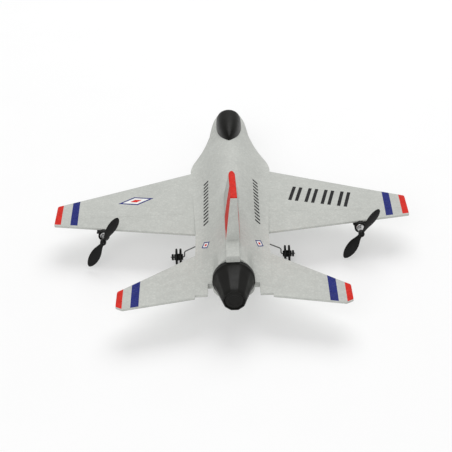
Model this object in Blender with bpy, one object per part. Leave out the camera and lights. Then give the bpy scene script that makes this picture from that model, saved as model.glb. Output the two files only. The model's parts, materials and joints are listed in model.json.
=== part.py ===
"""Small twin-motor foam jet, radio controlled, standing on its wheels.

Units are metres, +Z is up, the nose points to -Y and the left wing to +X.
The origin is on the floor, under the middle of the model's outer box.
Every named mesh is one physical piece; wire-frame guides only cut or extend other pieces.
"""

import math

import bmesh
import bpy
import numpy as np
from mathutils import Matrix, Vector

MM = 0.001
CLEARANCE = 0.3 * MM           # gap between pieces that fit into each other
UNDER_Z, OVER_Z = 5 * MM, 70 * MM   # cutters that leave the body end here
BEHIND_Y = 180 * MM
TUNNEL_HALF_LENGTH = 80 * MM

# ---- Driving dimensions -------------------------------------------------------------------
SPAN = 290 * MM
LENGTH = 340 * MM
NOSE_Y = -LENGTH / 2
TAIL_Y = LENGTH / 2
HALF_SPAN = SPAN / 2

PARTING_Z = 28.0 * MM          # where the two halves of the foam body meet
WING_TOP_Z = 33.5 * MM
WING_MID_Z = 30.7 * MM
FIN_TIP_Z = 89.6 * MM

# Body stations: (y, half width, top height, bottom height), all in millimetres.
BODY_STATIONS = (
    (-146, 11.8, 36.6, 17.2),
    (-128, 15.2, 43.8, 17.5),
    (-112, 17.0, 48.0, 17.7),
    (-106, 17.6, 49.9, 17.6),
    (-99, 18.3, 50.7, 14.0),
    (-84, 21.4, 51.9, 14.0),
    (-71, 25.0, 52.5, 14.0),
    (-58, 29.2, 52.7, 14.0),
    (-46, 32.8, 52.7, 14.0),
    (-34.7, 34.3, 52.7, 14.0),
    (67, 29.3, 52.5, 14.0),
    (105, 29.3, 52.7, 15.5),
    (155, 29.3, 53.5, 18.8),
)
BODY_FRONT_Y = -146 * MM
NOSE_SHAPE_END_Y = -112 * MM   # ahead of this the body section is round
WING_SHAPE_START_Y = -35 * MM  # behind this it is a spine on a flat shelf
NOSE_EDGE_Z = 30.0 * MM
NOSE_TIP_Z = 23.0 * MM

# Towards the tail the belly narrows to the nozzle, the spine's flanks sink beside it, and the
# upper half thins to the two tabs at its rear corners. Each pair is where the change starts and ends.
BELLY_NARROWING_YS, BELLY_REAR_HALF_WIDTH = (95 * MM, 136 * MM), 15.6 * MM
FLANK_SINKING_YS, FLANK_SINKING_XS = (108 * MM, 141 * MM), (11 * MM, 16 * MM)
SHELF_SLOPING_YS, SHELF_DROP = (125 * MM, 155 * MM), 1.7 * MM
TAB_THINNING_YS, TAB_RISE = (141 * MM, 155 * MM), 2.0 * MM

# Flat outlines, y of the leading and trailing edge at the root and the tip.
WING_ROOT_FRONT_Y, WING_ROOT_REAR_Y = -34.7 * MM, 67 * MM
WING_TIP_FRONT_Y, WING_TIP_REAR_Y = 15 * MM, 46 * MM
WING_ROOT_FRONT_X, WING_ROOT_REAR_X = 34.6 * MM, 29.6 * MM
WING_ROOT_THICKNESS, WING_TIP_THICKNESS = 5.6 * MM, 3.8 * MM
TAIL_ROOT_X, TAIL_TIP_X = 29.6 * MM, 87.5 * MM
TAIL_ROOT_FRONT_Y, TAIL_ROOT_REAR_Y = 98.8 * MM, 158 * MM
TAIL_TIP_FRONT_Y, TAIL_TIP_REAR_Y = 146.7 * MM, 166.8 * MM
TAIL_CORNER_X = 82.2 * MM
TAIL_THICKNESS = 4.6 * MM
EDGE_THICKNESS = 1.8 * MM      # the blunt rear edge of every foam surface

# Fin
FIN_ROOT_Z = 47.5 * MM
FIN_ROOT_FRONT_Y, FIN_ROOT_REAR_Y = 20.5 * MM, 119.7 * MM
FIN_TIP_FRONT_Y, FIN_TIP_REAR_Y = 69.9 * MM, 110.8 * MM
FIN_ROOT_THICKNESS, FIN_TIP_THICKNESS = 12.2 * MM, 5.0 * MM
FAIRING_FRONT_Y, FAIRING_REAR_Y = 100 * MM, 141 * MM
FAIRING_HALF_WIDTH = 5.3 * MM
FIN_LEAN_FRONT, FIN_LEAN_REAR = 1.0 * MM, 2.1 * MM   # how far the tip stands to the right of true
FAIRING_BOTTOM_Z, FAIRING_TOP_Z = 51.0 * MM, 56.1 * MM

# Canopy
CANOPY_FRONT_Y, CANOPY_WIDEST_Y, CANOPY_REAR_Y = -110.5 * MM, -97.5 * MM, -56 * MM
CANOPY_BASE_Z, CANOPY_TOP_Z, CANOPY_TAIL_Z = 44.5 * MM, 61.4 * MM, 54.0 * MM
CANOPY_HALF_WIDTH = 11.2 * MM
CANOPY_TAPER, CANOPY_FULLNESS, CANOPY_SIDES = 1.6, 0.64, 0.56

# Exhaust nozzle
NOZZLE_Z = 34.9 * MM
NOZZLE_COLLAR_RADIUS, NOZZLE_END_RADIUS = 16 * MM, 8.7 * MM
NOZZLE_FRONT_Y, NOZZLE_SHOULDER_Y, NOZZLE_REAR_Y = 138 * MM, 142.5 * MM, 168.5 * MM
NOZZLE_WALL = 1.2 * MM
NOTCH_HALF_WIDTH, NOTCH_FRONT_Y = 19.6 * MM, 141 * MM

# Motors and propellers
MOTOR_X, MOTOR_Z = 104 * MM, 26.5 * MM
MOTOR_RADIUS, MOTOR_FRONT_Y, MOTOR_REAR_Y = 3.5 * MM, 41 * MM, 57 * MM
POD_RADIUS = 4.6 * MM
SHAFT_RADIUS = 0.5 * MM
PROPELLER_RADIUS, PROPELLER_Y = 26 * MM, 66.2 * MM
PROPELLER_REST_ANGLE = math.radians(31)   # blade lean from upright, towards the right wing
SPAR_Y, SPAR_RADIUS, SPAR_HALF_LENGTH = 36.7 * MM, 0.8 * MM, 96 * MM
MOTOR_WIRE_Y, MOTOR_WIRE_RADIUS = 39.8 * MM, 0.6 * MM
SPAR_SLOT_HALF, WIRE_SLOT_HALF = 1.1 * MM, 0.9 * MM
WIRE_LEVEL_Z, WIRE_SLOT_TOP_Z = 29.6 * MM, 30.5 * MM

# Landing gear
WIRE_RADIUS = 0.5 * MM
MAIN_WHEEL_X, MAIN_WHEEL_Y, MAIN_WHEEL_RADIUS = 44.3 * MM, 61.2 * MM, 7 * MM
MAIN_LEG_X = 39.3 * MM
NOSE_WHEEL_Y, NOSE_WHEEL_RADIUS, NOSE_LEG_X = -112 * MM, 6 * MM, 5 * MM
NOSE_BLOCK_BOTTOM_Z, NOSE_BLOCK_TOP_Z = 17.6 * MM, 22.6 * MM
LEG_TOP_Z = 18.6 * MM
GEAR_BLOCK_HALF_WIDTH, GEAR_BLOCK_BOTTOM_Z = 16 * MM, 14.2 * MM
GEAR_BLOCK_FRONT_Y, GEAR_BLOCK_REAR_Y = MAIN_WHEEL_Y - 6 * MM, MAIN_WHEEL_Y + 6 * MM

# Battery bay and electronics
BAY_HALF_WIDTH, BAY_FRONT_Y, BAY_REAR_Y = 12.6 * MM, -96 * MM, -50 * MM
BAY_BOTTOM_Z, BAY_TOP_Z = 11.9 * MM, 28.5 * MM
DOOR_HALF_WIDTH, DOOR_BOTTOM_Z, DOOR_TOP_Z = 11.2 * MM, 12.8 * MM, 13.7 * MM
GRIP_RIB_COUNT, GRIP_RIB_FRONT_Y, GRIP_RIB_PITCH = 4, -66 * MM, 3.2 * MM
CAVITY_HALF_WIDTH, CAVITY_FRONT_Y, CAVITY_REAR_Y, CAVITY_TOP_Z = 13.2 * MM, -100 * MM, 50 * MM, 39 * MM
CAVITY_BOTTOM_Z, LEAD_Z = 20 * MM, 23.2 * MM
BOARD_TOP_Z = 30.6 * MM
# Parts on the board: name, x, y, half width, half length and height, all in millimetres.
BOARD_PARTS = (
    ("main_chip", 0, -12, 3.5, 3.5, 1.0),
    ("radio_chip", 4, -21, 2, 2, 0.9),
    ("gyro_chip", -4, -1, 1.6, 1.6, 1.0),
    ("motor_sockets", 0, 7, 5, 2.0, 2.6),
)
SWITCH_Y = 6 * MM
LAMP_X, LAMP_RADIUS = 5 * MM, 1.5 * MM
SIDES = (("left", 1), ("right", -1))

# ---- Materials: name -> (colour, roughness, metallic) -----------------------------------------
FINISHES = {
    "foam": ((0.52, 0.54, 0.50), 0.75, 0.0),
    "black_plastic": ((0.012, 0.011, 0.010), 0.38, 0.0),
    "propeller_plastic": ((0.008, 0.008, 0.008), 0.30, 0.0),
    "grey_plastic": ((0.20, 0.20, 0.21), 0.45, 0.0),
    "white_plastic": ((0.75, 0.74, 0.70), 0.40, 0.0),
    "steel": ((0.55, 0.55, 0.56), 0.28, 1.0),
    "carbon": ((0.02, 0.02, 0.022), 0.42, 0.0),
    "board": ((0.01, 0.09, 0.04), 0.45, 0.0),
    "battery_wrap": ((0.02, 0.16, 0.42), 0.35, 0.0),
    "red_wire": ((0.45, 0.02, 0.02), 0.45, 0.0),
    "lamp": ((0.80, 0.10, 0.05), 0.15, 0.0),
}


def clear_scene():
    """Remove whatever the file opened with."""
    for item in list(bpy.data.objects):
        bpy.data.objects.remove(item, do_unlink=True)


def finish(name):
    """Return the named material, made once."""
    made = bpy.data.materials.get(name)
    if made:
        return made
    colour, roughness, metallic = FINISHES[name]
    made = bpy.data.materials.new(name)
    made.use_nodes = True
    shader = made.node_tree.nodes["Principled BSDF"]
    shader.inputs["Base Color"].default_value = (*colour, 1.0)
    shader.inputs["Roughness"].default_value = roughness
    shader.inputs["Metallic"].default_value = metallic
    return made


# ---- Mesh helpers -----------------------------------------------------------------------------
def add_mesh(name, shape, finish_name, origin=(0, 0, 0), smooth=True):
    """Turn a bmesh built in world space into a named object whose origin is `origin`."""
    bmesh.ops.remove_doubles(shape, verts=shape.verts, dist=1e-7)
    bmesh.ops.recalc_face_normals(shape, faces=shape.faces)
    bmesh.ops.translate(shape, verts=shape.verts, vec=-Vector(origin))
    mesh = bpy.data.meshes.new(name)
    shape.to_mesh(mesh)
    shape.free()
    if smooth:
        mesh.shade_smooth()
        mesh.set_sharp_from_angle(angle=math.radians(35))
    piece = bpy.data.objects.new(name, mesh)
    piece.location = origin
    if finish_name:
        mesh.materials.append(finish(finish_name))
    bpy.context.scene.collection.objects.link(piece)
    return piece


def is_bent(face):
    """True for a four-sided face whose corners don't lie in one plane."""
    if len(face.verts) != 4:
        return False
    a, b, c, d = (corner.co for corner in face.verts)
    normal = (b - a).cross(c - a)
    return abs(normal.dot(d - a)) > 1e-9 * max(normal.length, 1e-9)


def loft_shape(rings):
    """Join rings of equal length into a closed bmesh with flat ends."""
    shape = bmesh.new()
    rows = [[shape.verts.new(point) for point in ring] for ring in rings]
    for row, following in zip(rows, rows[1:]):
        for index in range(len(row)):
            after = (index + 1) % len(row)
            shape.faces.new((row[index], row[after], following[after], following[index]))
    shape.faces.new(rows[0])
    shape.faces.new(rows[-1])
    bmesh.ops.triangulate(shape, faces=[face for face in shape.faces if is_bent(face)])
    return shape


def loft(name, rings, finish_name, **options):
    return add_mesh(name, loft_shape(rings), finish_name, **options)


def box_shape(low, high):
    shape = bmesh.new()
    size = Vector(high) - Vector(low)
    middle = (Vector(high) + Vector(low)) / 2
    placing = Matrix.Translation(middle) @ Matrix.Diagonal((*size, 1.0))
    bmesh.ops.create_cube(shape, size=1.0, matrix=placing)
    return shape


def box(name, low, high, finish_name=None, bevel=0.0, **options):
    piece = add_mesh(name, box_shape(low, high), finish_name, smooth=False, **options)
    if bevel:
        rounding = piece.modifiers.new("rounded_edges", "BEVEL")
        rounding.width = bevel
        rounding.segments = 2
    return piece


def turned_shape(profile, centre, axis, steps):
    """Spin a closed (radius, distance along axis) profile; the profile never touches the axis."""
    turn = Vector((0, 0, 1)).rotation_difference(Vector(axis)).to_matrix()
    shape = bmesh.new()
    rows = []
    for step in range(steps):
        angle = 2 * math.pi * step / steps
        spoke = Vector((math.cos(angle), math.sin(angle), 0))
        ring = [Vector(centre) + turn @ (spoke * radius + Vector((0, 0, along)))
                for radius, along in profile]
        rows.append([shape.verts.new(point) for point in ring])
    for row, following in zip(rows, rows[1:] + rows[:1]):
        for index in range(len(row)):
            after = (index + 1) % len(row)
            shape.faces.new((row[index], row[after], following[after], following[index]))
    return shape


def turned(name, profile, centre, axis, finish_name=None, steps=24, **options):
    return add_mesh(name, turned_shape(profile, centre, axis, steps), finish_name, **options)


def rod(name, start, end, radius, finish_name=None, sides=16, **options):
    """A solid round bar with flat ends."""
    start, end = Vector(start), Vector(end)
    turn = Vector((0, 0, 1)).rotation_difference(end - start).to_matrix()
    rings = []
    for point in (start, end):
        angles = [2 * math.pi * step / sides for step in range(sides)]
        rings.append([point + turn @ Vector((radius * math.cos(a), radius * math.sin(a), 0))
                      for a in angles])
    return loft(name, rings, finish_name, **options)


def wire(name, corners, radius, finish_name, bend=2.0 * MM):
    """A bent wire: straight runs joined by short round bends, as one tube with closed ends."""
    points = [Vector(corners[0])]
    for before, corner, after in zip(corners, corners[1:], corners[2:]):
        before, corner, after = Vector(before), Vector(corner), Vector(after)
        entry = corner + (before - corner).normalized() * bend
        leave = corner + (after - corner).normalized() * bend
        for step in range(5):
            t = step / 4
            points.append(entry * (1 - t) ** 2 + corner * 2 * t * (1 - t) + leave * t ** 2)
    points.append(Vector(corners[-1]))
    curve = bpy.data.curves.new(name, "CURVE")
    curve.dimensions = "3D"
    curve.bevel_depth = radius
    curve.bevel_resolution = 2
    curve.use_fill_caps = True
    spline = curve.splines.new("POLY")
    spline.points.add(len(points) - 1)
    for slot, point in zip(spline.points, points):
        slot.co = (*point, 1.0)
    curve.materials.append(finish(finish_name))
    piece = bpy.data.objects.new(name, curve)
    bpy.context.scene.collection.objects.link(piece)
    return piece


def guide(piece):
    """Mark an object as a cutter or an extension that isn't a piece of its own."""
    piece.hide_render = True
    piece.display_type = "WIRE"
    return piece


def combine(target, operation, tools):
    for tool in tools:
        step = target.modifiers.new(tool.name, "BOOLEAN")
        step.operation = operation
        step.solver = "EXACT"
        step.object = guide(tool)
    return target


def cut(target, *tools):
    return combine(target, "DIFFERENCE", tools)


def extend(target, *tools):
    return combine(target, "UNION", tools)


def smooth_through(stations, column):
    """A monotone cubic curve through one column of the stations; heights never overshoot."""
    xs = np.array([row[0] for row in stations], float)
    ys = np.array([row[column] for row in stations], float)
    steps, slopes = np.diff(xs), np.diff(ys) / np.diff(xs)
    tangents = np.zeros(len(xs))
    for i in range(1, len(xs) - 1):
        if slopes[i - 1] * slopes[i] > 0:
            near, far = 2 * steps[i] + steps[i - 1], steps[i] + 2 * steps[i - 1]
            tangents[i] = (near + far) / (near / slopes[i - 1] + far / slopes[i])
    tangents[0], tangents[-1] = slopes[0], slopes[-1]

    def value(x):
        i = int(np.clip(np.searchsorted(xs, x) - 1, 0, len(steps) - 1))
        t = (x - xs[i]) / steps[i]
        rise, settle = t * t * (3 - 2 * t), t * (1 - t) ** 2
        leave = -t * t * (1 - t)
        bend = steps[i] * (tangents[i] * settle + tangents[i + 1] * leave)
        return ys[i] + (ys[i + 1] - ys[i]) * rise + bend

    return value


# ---- Foam body --------------------------------------------------------------------------------
forebody_half_width = smooth_through(BODY_STATIONS, 1)
body_top = smooth_through(BODY_STATIONS, 2)
body_bottom = smooth_through(BODY_STATIONS, 3)
BODY_SECTION_YS = [row[0] * MM for row in BODY_STATIONS[:10]]
BODY_SECTION_YS += [y * MM for y in (-10, 20, 67, 95, 108, 118, 125, 131, 136, 141, 148, 155)]


def share_between(value, limits):
    """0 before the first limit, 1 after the second, and a straight line in between."""
    return float(np.clip((value - limits[0]) / (limits[1] - limits[0]), 0, 1))


def eased(t):
    return t * t * (3 - 2 * t)


def body_half_width(y):
    """Curved ahead of the wing, then straight along the wing root and the tailplane root."""
    if y <= WING_ROOT_FRONT_Y / MM:
        return forebody_half_width(y)
    return float(np.interp(y, (WING_ROOT_FRONT_Y / MM, WING_ROOT_REAR_Y / MM),
                           ((WING_ROOT_FRONT_X - CLEARANCE) / MM, (WING_ROOT_REAR_X - CLEARANCE) / MM)))


def wing_likeness(y):
    """0 where the body section is round, 1 where it is a spine on a flat shelf."""
    return eased(share_between(y, (NOSE_SHAPE_END_Y, WING_SHAPE_START_Y)))


def belly_half_width(y):
    narrowing = eased(share_between(y, BELLY_NARROWING_YS))
    wide = body_half_width(y / MM) * MM
    return wide + (BELLY_REAR_HALF_WIDTH - wide) * narrowing


def flank_height(x, y):
    """1 on the spine, falling to 0 where its flank has sunk to the tail's level."""
    return 1 - eased(share_between(y, FLANK_SINKING_YS)) * eased(share_between(abs(x), FLANK_SINKING_XS))


def upper_section(y, count=20):
    """The upper half of the body at y: flat parting face, short side walls, spine."""
    width, top = body_half_width(y / MM) * MM, body_top(y / MM) * MM
    flat = wing_likeness(y)
    edge = NOSE_EDGE_Z + (WING_TOP_Z - NOSE_EDGE_Z) * flat - SHELF_DROP * share_between(y, SHELF_SLOPING_YS)
    under = PARTING_Z + TAB_RISE * share_between(y, TAB_THINNING_YS)
    ring = [Vector((-width, y, under))]
    for step in range(count + 1):
        across = -math.cos(math.pi * step / count)
        spine = 0.5 + 0.5 * math.cos(math.pi * across)
        dome = math.sqrt(max(0.0, 1 - across * across))
        rise = (flat * spine + (1 - flat) * dome) * flank_height(width * across, y)
        ring.append(Vector((width * across, y, edge + (top - edge) * rise)))
    ring.append(Vector((width, y, under)))
    return ring


def lower_section(y, count=20):
    """The belly half at y: flat parting face and a rounded underside."""
    width, bottom = belly_half_width(y), body_bottom(y / MM) * MM
    squareness = 2 + 1.6 * wing_likeness(y) * (1 - eased(share_between(y, BELLY_NARROWING_YS)))
    top = PARTING_Z - CLEARANCE
    ring = []
    for step in range(count + 1):
        across = -math.cos(math.pi * step / count)
        fall = max(0.0, 1 - abs(across) ** squareness) ** (1 / squareness)
        ring.append(Vector((width * across, y, top - (top - bottom) * fall)))
    return ring


def body_cutters():
    """The pockets, slots and cavity that the foam halves share."""
    gap = CLEARANCE
    nozzle_seat = rod("nozzle_seat", (0, NOZZLE_FRONT_Y - gap, NOZZLE_Z), (0, BEHIND_Y, NOZZLE_Z),
                      NOZZLE_COLLAR_RADIUS + gap, sides=32)
    notch = box("tail_notch", (-NOTCH_HALF_WIDTH, NOTCH_FRONT_Y, UNDER_Z),
                (NOTCH_HALF_WIDTH, BEHIND_Y, OVER_Z))
    above_nozzle = box("above_nozzle", (-NOZZLE_COLLAR_RADIUS - gap, NOZZLE_FRONT_Y - gap, 38 * MM),
                       (NOZZLE_COLLAR_RADIUS + gap, BEHIND_Y, OVER_Z))
    cavity = box("cavity", (-CAVITY_HALF_WIDTH, CAVITY_FRONT_Y, CAVITY_BOTTOM_Z),
                 (CAVITY_HALF_WIDTH, CAVITY_REAR_Y, CAVITY_TOP_Z))
    bay = box("bay_opening", (-BAY_HALF_WIDTH - gap, BAY_FRONT_Y - gap, UNDER_Z),
              (BAY_HALF_WIDTH + gap, BAY_REAR_Y + gap, 32 * MM))
    spar = box("spar_tunnel", (-TUNNEL_HALF_LENGTH, SPAR_Y - SPAR_SLOT_HALF, WING_MID_Z - SPAR_SLOT_HALF),
               (TUNNEL_HALF_LENGTH, SPAR_Y + SPAR_SLOT_HALF, WING_MID_Z + SPAR_SLOT_HALF))
    wires = box("wire_tunnel", (-TUNNEL_HALF_LENGTH, MOTOR_WIRE_Y - WIRE_SLOT_HALF, 20 * MM),
                (TUNNEL_HALF_LENGTH, MOTOR_WIRE_Y + WIRE_SLOT_HALF, WIRE_SLOT_TOP_Z))
    fin_slot = loft("fin_slot", fin_rings(gap), None)
    fairing_slot = box("fairing_slot", (-FAIRING_HALF_WIDTH - gap, FAIRING_FRONT_Y, FAIRING_BOTTOM_Z - gap),
                       (FAIRING_HALF_WIDTH + gap, BEHIND_Y, OVER_Z))
    canopy_seat = loft("canopy_seat", canopy_rings(gap), None)
    gear_seat = box("gear_seat", (-GEAR_BLOCK_HALF_WIDTH - gap, GEAR_BLOCK_FRONT_Y - gap, UNDER_Z),
                    (GEAR_BLOCK_HALF_WIDTH + gap, GEAR_BLOCK_REAR_Y + gap, 22.6 * MM))
    leg_slot = box("leg_slot", (-40 * MM, MAIN_WHEEL_Y - 0.9 * MM, UNDER_Z),
                   (40 * MM, MAIN_WHEEL_Y + 0.9 * MM, 19.8 * MM))
    block_low, block_high = nose_block_corners()
    nose_gear_seat = box("nose_gear_seat", (block_low.x - gap, block_low.y - gap, UNDER_Z),
                         block_high + Vector((gap, gap, gap)))
    switch_seat = box("switch_seat", (-6.3 * MM, SWITCH_Y - 5.3 * MM, UNDER_Z),
                      (-0.2 * MM, SWITCH_Y + 5.3 * MM, 21 * MM))
    lamp_seat = rod("lamp_seat", (LAMP_X, SWITCH_Y, UNDER_Z), (LAMP_X, SWITCH_Y, 21 * MM), LAMP_RADIUS + gap)
    upper = (nozzle_seat, above_nozzle, notch, cavity, bay, spar, wires, fin_slot, fairing_slot, canopy_seat)
    lower = (nozzle_seat, notch, cavity, bay, gear_seat, leg_slot, nose_gear_seat, switch_seat, lamp_seat)
    return upper, lower


def make_body():
    upper_cutters, lower_cutters = body_cutters()
    upper = loft("fuselage_upper", [upper_section(y) for y in BODY_SECTION_YS], "foam")
    cut(upper, *upper_cutters)
    belly = loft("fuselage_belly", [lower_section(y) for y in BODY_SECTION_YS], "foam")
    cut(belly, *lower_cutters)


def make_nose_cone():
    """A rounded cap that carries on the section of the body to the tip."""
    base_y = BODY_FRONT_Y - CLEARANCE
    half_width, top, bottom = (BODY_STATIONS[0][i] * MM for i in (1, 2, 3))
    middle, half_height = (top + bottom) / 2, (top - bottom) / 2
    rings = []
    for step in range(8):
        along = math.sin(math.pi / 2 * step / 7.15)
        size = max(0.08, (1 - along ** 2) ** 0.62)
        centre_z = middle + (NOSE_TIP_Z - middle) * along
        y = base_y + (NOSE_Y - base_y) * (along if step < 7 else 1)
        angles = [2 * math.pi * k / 24 for k in range(24)]
        rings.append([Vector((half_width * size * math.cos(a), y,
                              centre_z + half_height * size * math.sin(a))) for a in angles])
    loft("nose_cone", rings, "black_plastic")


# ---- Flying surfaces --------------------------------------------------------------------------
def airfoil(thickness, chord, count=7):
    """Half thickness against distance from the leading edge: round front, straight taper, blunt rear."""
    nose = min(0.12 * chord, 7 * MM)
    profile = []
    for step in range(count):
        angle = math.pi / 2 * step / (count - 1)
        profile.append((nose * (1 - math.cos(angle)), thickness / 2 * math.sin(angle)))
    profile.append((0.38 * chord, thickness / 2))
    profile.append((0.72 * chord, (thickness + EDGE_THICKNESS) / 4 + 0.2 * MM))
    profile.append((chord, EDGE_THICKNESS / 2))
    return profile


def surface_ring(x_front, y_front, x_rear, y_rear, mid_z, thickness):
    """One rib of a wing or tailplane, from the leading edge over the top and back underneath."""
    front, rear = Vector((x_front, y_front, mid_z)), Vector((x_rear, y_rear, mid_z))
    chord = (rear - front).length
    profile = airfoil(thickness, chord)
    above = [front.lerp(rear, d / chord) + Vector((0, 0, half)) for d, half in profile]
    below = [front.lerp(rear, d / chord) - Vector((0, 0, half)) for d, half in profile[1:]]
    return above + below[::-1]


def make_wing(side, sign):
    """A tapered foam wing; its spar and its motor leads lie in slots in the foam."""
    root = surface_ring(sign * WING_ROOT_FRONT_X, WING_ROOT_FRONT_Y, sign * WING_ROOT_REAR_X,
                        WING_ROOT_REAR_Y, WING_MID_Z, WING_ROOT_THICKNESS)
    shoulder_x = HALF_SPAN - 1.2 * MM
    shoulder = surface_ring(sign * shoulder_x, WING_TIP_FRONT_Y - 0.5 * MM, sign * shoulder_x,
                            WING_TIP_REAR_Y, WING_MID_Z, WING_TIP_THICKNESS)
    tip = surface_ring(sign * HALF_SPAN, WING_TIP_FRONT_Y + 1.0 * MM, sign * HALF_SPAN,
                       WING_TIP_REAR_Y - 0.4 * MM, WING_MID_Z, 0.55 * WING_TIP_THICKNESS)
    wing = loft(f"wing_{side}", [root, shoulder, tip], "foam")
    inner_x = sign * 20 * MM
    outer_x = sign * (SPAR_HALF_LENGTH + CLEARANCE)
    spar_slot = box(f"spar_slot_{side}", (inner_x, SPAR_Y - SPAR_SLOT_HALF, WING_MID_Z - SPAR_SLOT_HALF),
                    (outer_x, SPAR_Y + SPAR_SLOT_HALF, WING_MID_Z + SPAR_SLOT_HALF))
    wire_slot = box(f"wire_slot_{side}", (inner_x, MOTOR_WIRE_Y - WIRE_SLOT_HALF, 15 * MM),
                    (sign * (MOTOR_X + 1 * MM), MOTOR_WIRE_Y + WIRE_SLOT_HALF, WIRE_SLOT_TOP_Z))
    motor_seat = rod(f"motor_seat_{side}", (sign * MOTOR_X, MOTOR_FRONT_Y - 4 * MM, MOTOR_Z),
                     (sign * MOTOR_X, 60 * MM, MOTOR_Z), MOTOR_RADIUS + CLEARANCE)
    cut(wing, spar_slot, wire_slot, motor_seat, *mount_shapes(side, sign, "seat", CLEARANCE))


def make_tailplane(side, sign):
    """A flat foam tailplane with a clipped rear corner at the tip."""
    root = surface_ring(sign * TAIL_ROOT_X, TAIL_ROOT_FRONT_Y, sign * TAIL_ROOT_X, TAIL_ROOT_REAR_Y,
                        WING_MID_Z, TAIL_THICKNESS)
    corner_front = TAIL_TIP_FRONT_Y - (TAIL_TIP_X - TAIL_CORNER_X) * 0.82
    corner = surface_ring(sign * TAIL_CORNER_X, corner_front, sign * TAIL_CORNER_X, TAIL_Y,
                          WING_MID_Z, 0.86 * TAIL_THICKNESS)
    shoulder = surface_ring(sign * (TAIL_TIP_X - 0.9 * MM), TAIL_TIP_FRONT_Y - 0.8 * MM,
                            sign * (TAIL_TIP_X - 0.9 * MM), TAIL_TIP_REAR_Y + 0.4 * MM,
                            WING_MID_Z, 0.82 * TAIL_THICKNESS)
    tip = surface_ring(sign * TAIL_TIP_X, TAIL_TIP_FRONT_Y, sign * TAIL_TIP_X, TAIL_TIP_REAR_Y - 0.4 * MM,
                       WING_MID_Z, 0.5 * TAIL_THICKNESS)
    loft(f"tailplane_{side}", [root, corner, shoulder, tip], "foam")


def fin_lean(y, z):
    """How far the fin stands to the right of upright at a point; it leans more at its rear."""
    up = (z - FIN_ROOT_Z) / (FIN_TIP_Z - FIN_ROOT_Z)
    back = share_between(y, (FIN_TIP_FRONT_Y, FIN_TIP_REAR_Y))
    return up * (FIN_LEAN_FRONT + (FIN_LEAN_REAR - FIN_LEAN_FRONT) * back)


def fin_ring(y_front, y_rear, z, thickness, grow=0.0):
    """One level section of the fin: round leading edge, near-parallel sides, blunt rear face."""
    half, chord = thickness / 2 + grow, y_rear - y_front
    nose = 0.16 * chord
    side = [(y_front - 3 * grow + nose * (1 - math.cos(a)), half * math.sin(a))
            for a in (math.pi / 2 * step / 5 for step in range(6))]
    side.append((y_rear + grow, half))
    return ([Vector((x - fin_lean(y, z), y, z)) for y, x in side]
            + [Vector((-x - fin_lean(y, z), y, z)) for y, x in side[:0:-1]])


def fin_rings(grow=0.0):
    levels = ((FIN_ROOT_Z, 0.0), (FIN_TIP_Z - 0.8 * MM, 1.0))
    rings = []
    for z, up in levels:
        front = FIN_ROOT_FRONT_Y + (FIN_TIP_FRONT_Y - FIN_ROOT_FRONT_Y) * up
        rear = FIN_ROOT_REAR_Y + (FIN_TIP_REAR_Y - FIN_ROOT_REAR_Y) * up
        thickness = FIN_ROOT_THICKNESS + (FIN_TIP_THICKNESS - FIN_ROOT_THICKNESS) * up
        rings.append(fin_ring(front, rear, z - grow, thickness, grow))
    rings.append(fin_ring(FIN_TIP_FRONT_Y + 1.0 * MM, FIN_TIP_REAR_Y - 0.4 * MM, FIN_TIP_Z + grow,
                          0.75 * FIN_TIP_THICKNESS, grow))
    return rings


def make_fin():
    """The fin and the square-ended fairing behind it, one foam moulding."""
    fin = loft("fin", fin_rings(), "foam")
    fairing = box("fairing", (-FAIRING_HALF_WIDTH, FAIRING_FRONT_Y + 1 * MM, FAIRING_BOTTOM_Z),
                  (FAIRING_HALF_WIDTH, FAIRING_REAR_Y, FAIRING_TOP_Z))
    extend(fin, fairing)


def make_spar():
    rod("wing_spar", (-SPAR_HALF_LENGTH, SPAR_Y, WING_MID_Z), (SPAR_HALF_LENGTH, SPAR_Y, WING_MID_Z),
        SPAR_RADIUS, "carbon", sides=12)


# ---- Canopy and nozzle ------------------------------------------------------------------------
def canopy_rings(grow=0.0, count=14, across=12):
    """Egg-shaped bubble: elliptic towards the nose, longer and slimmer at the back."""
    rings = []
    for step in range(count + 1):
        t = -math.cos(math.pi * step / count)
        if t < 0:
            y = CANOPY_WIDEST_Y + (CANOPY_WIDEST_Y - CANOPY_FRONT_Y) * t
            size = math.sqrt(max(0.0, 1 - t * t))
            top = CANOPY_BASE_Z + (CANOPY_TOP_Z - CANOPY_BASE_Z) * size
        else:
            y = CANOPY_WIDEST_Y + (CANOPY_REAR_Y - CANOPY_WIDEST_Y) * t
            size = max(0.0, 1 - t ** CANOPY_TAPER) ** CANOPY_FULLNESS
            top = CANOPY_TAIL_Z + (CANOPY_TOP_Z - CANOPY_TAIL_Z) * size
        y += grow * t
        half = max(0.6 * MM, CANOPY_HALF_WIDTH * size) + grow
        top = max(top, CANOPY_BASE_Z + 1.0 * MM) + grow
        base = CANOPY_BASE_Z - grow
        angles = [math.pi * k / across for k in range(across + 1)]
        heights = [base + (top - base) * max(0.0, math.sin(a)) ** CANOPY_SIDES for a in angles]
        rings.append([Vector((half * math.cos(a), y, z)) for a, z in zip(angles, heights)])
    return rings


def make_canopy():
    loft("canopy", canopy_rings(), "black_plastic")


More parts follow.
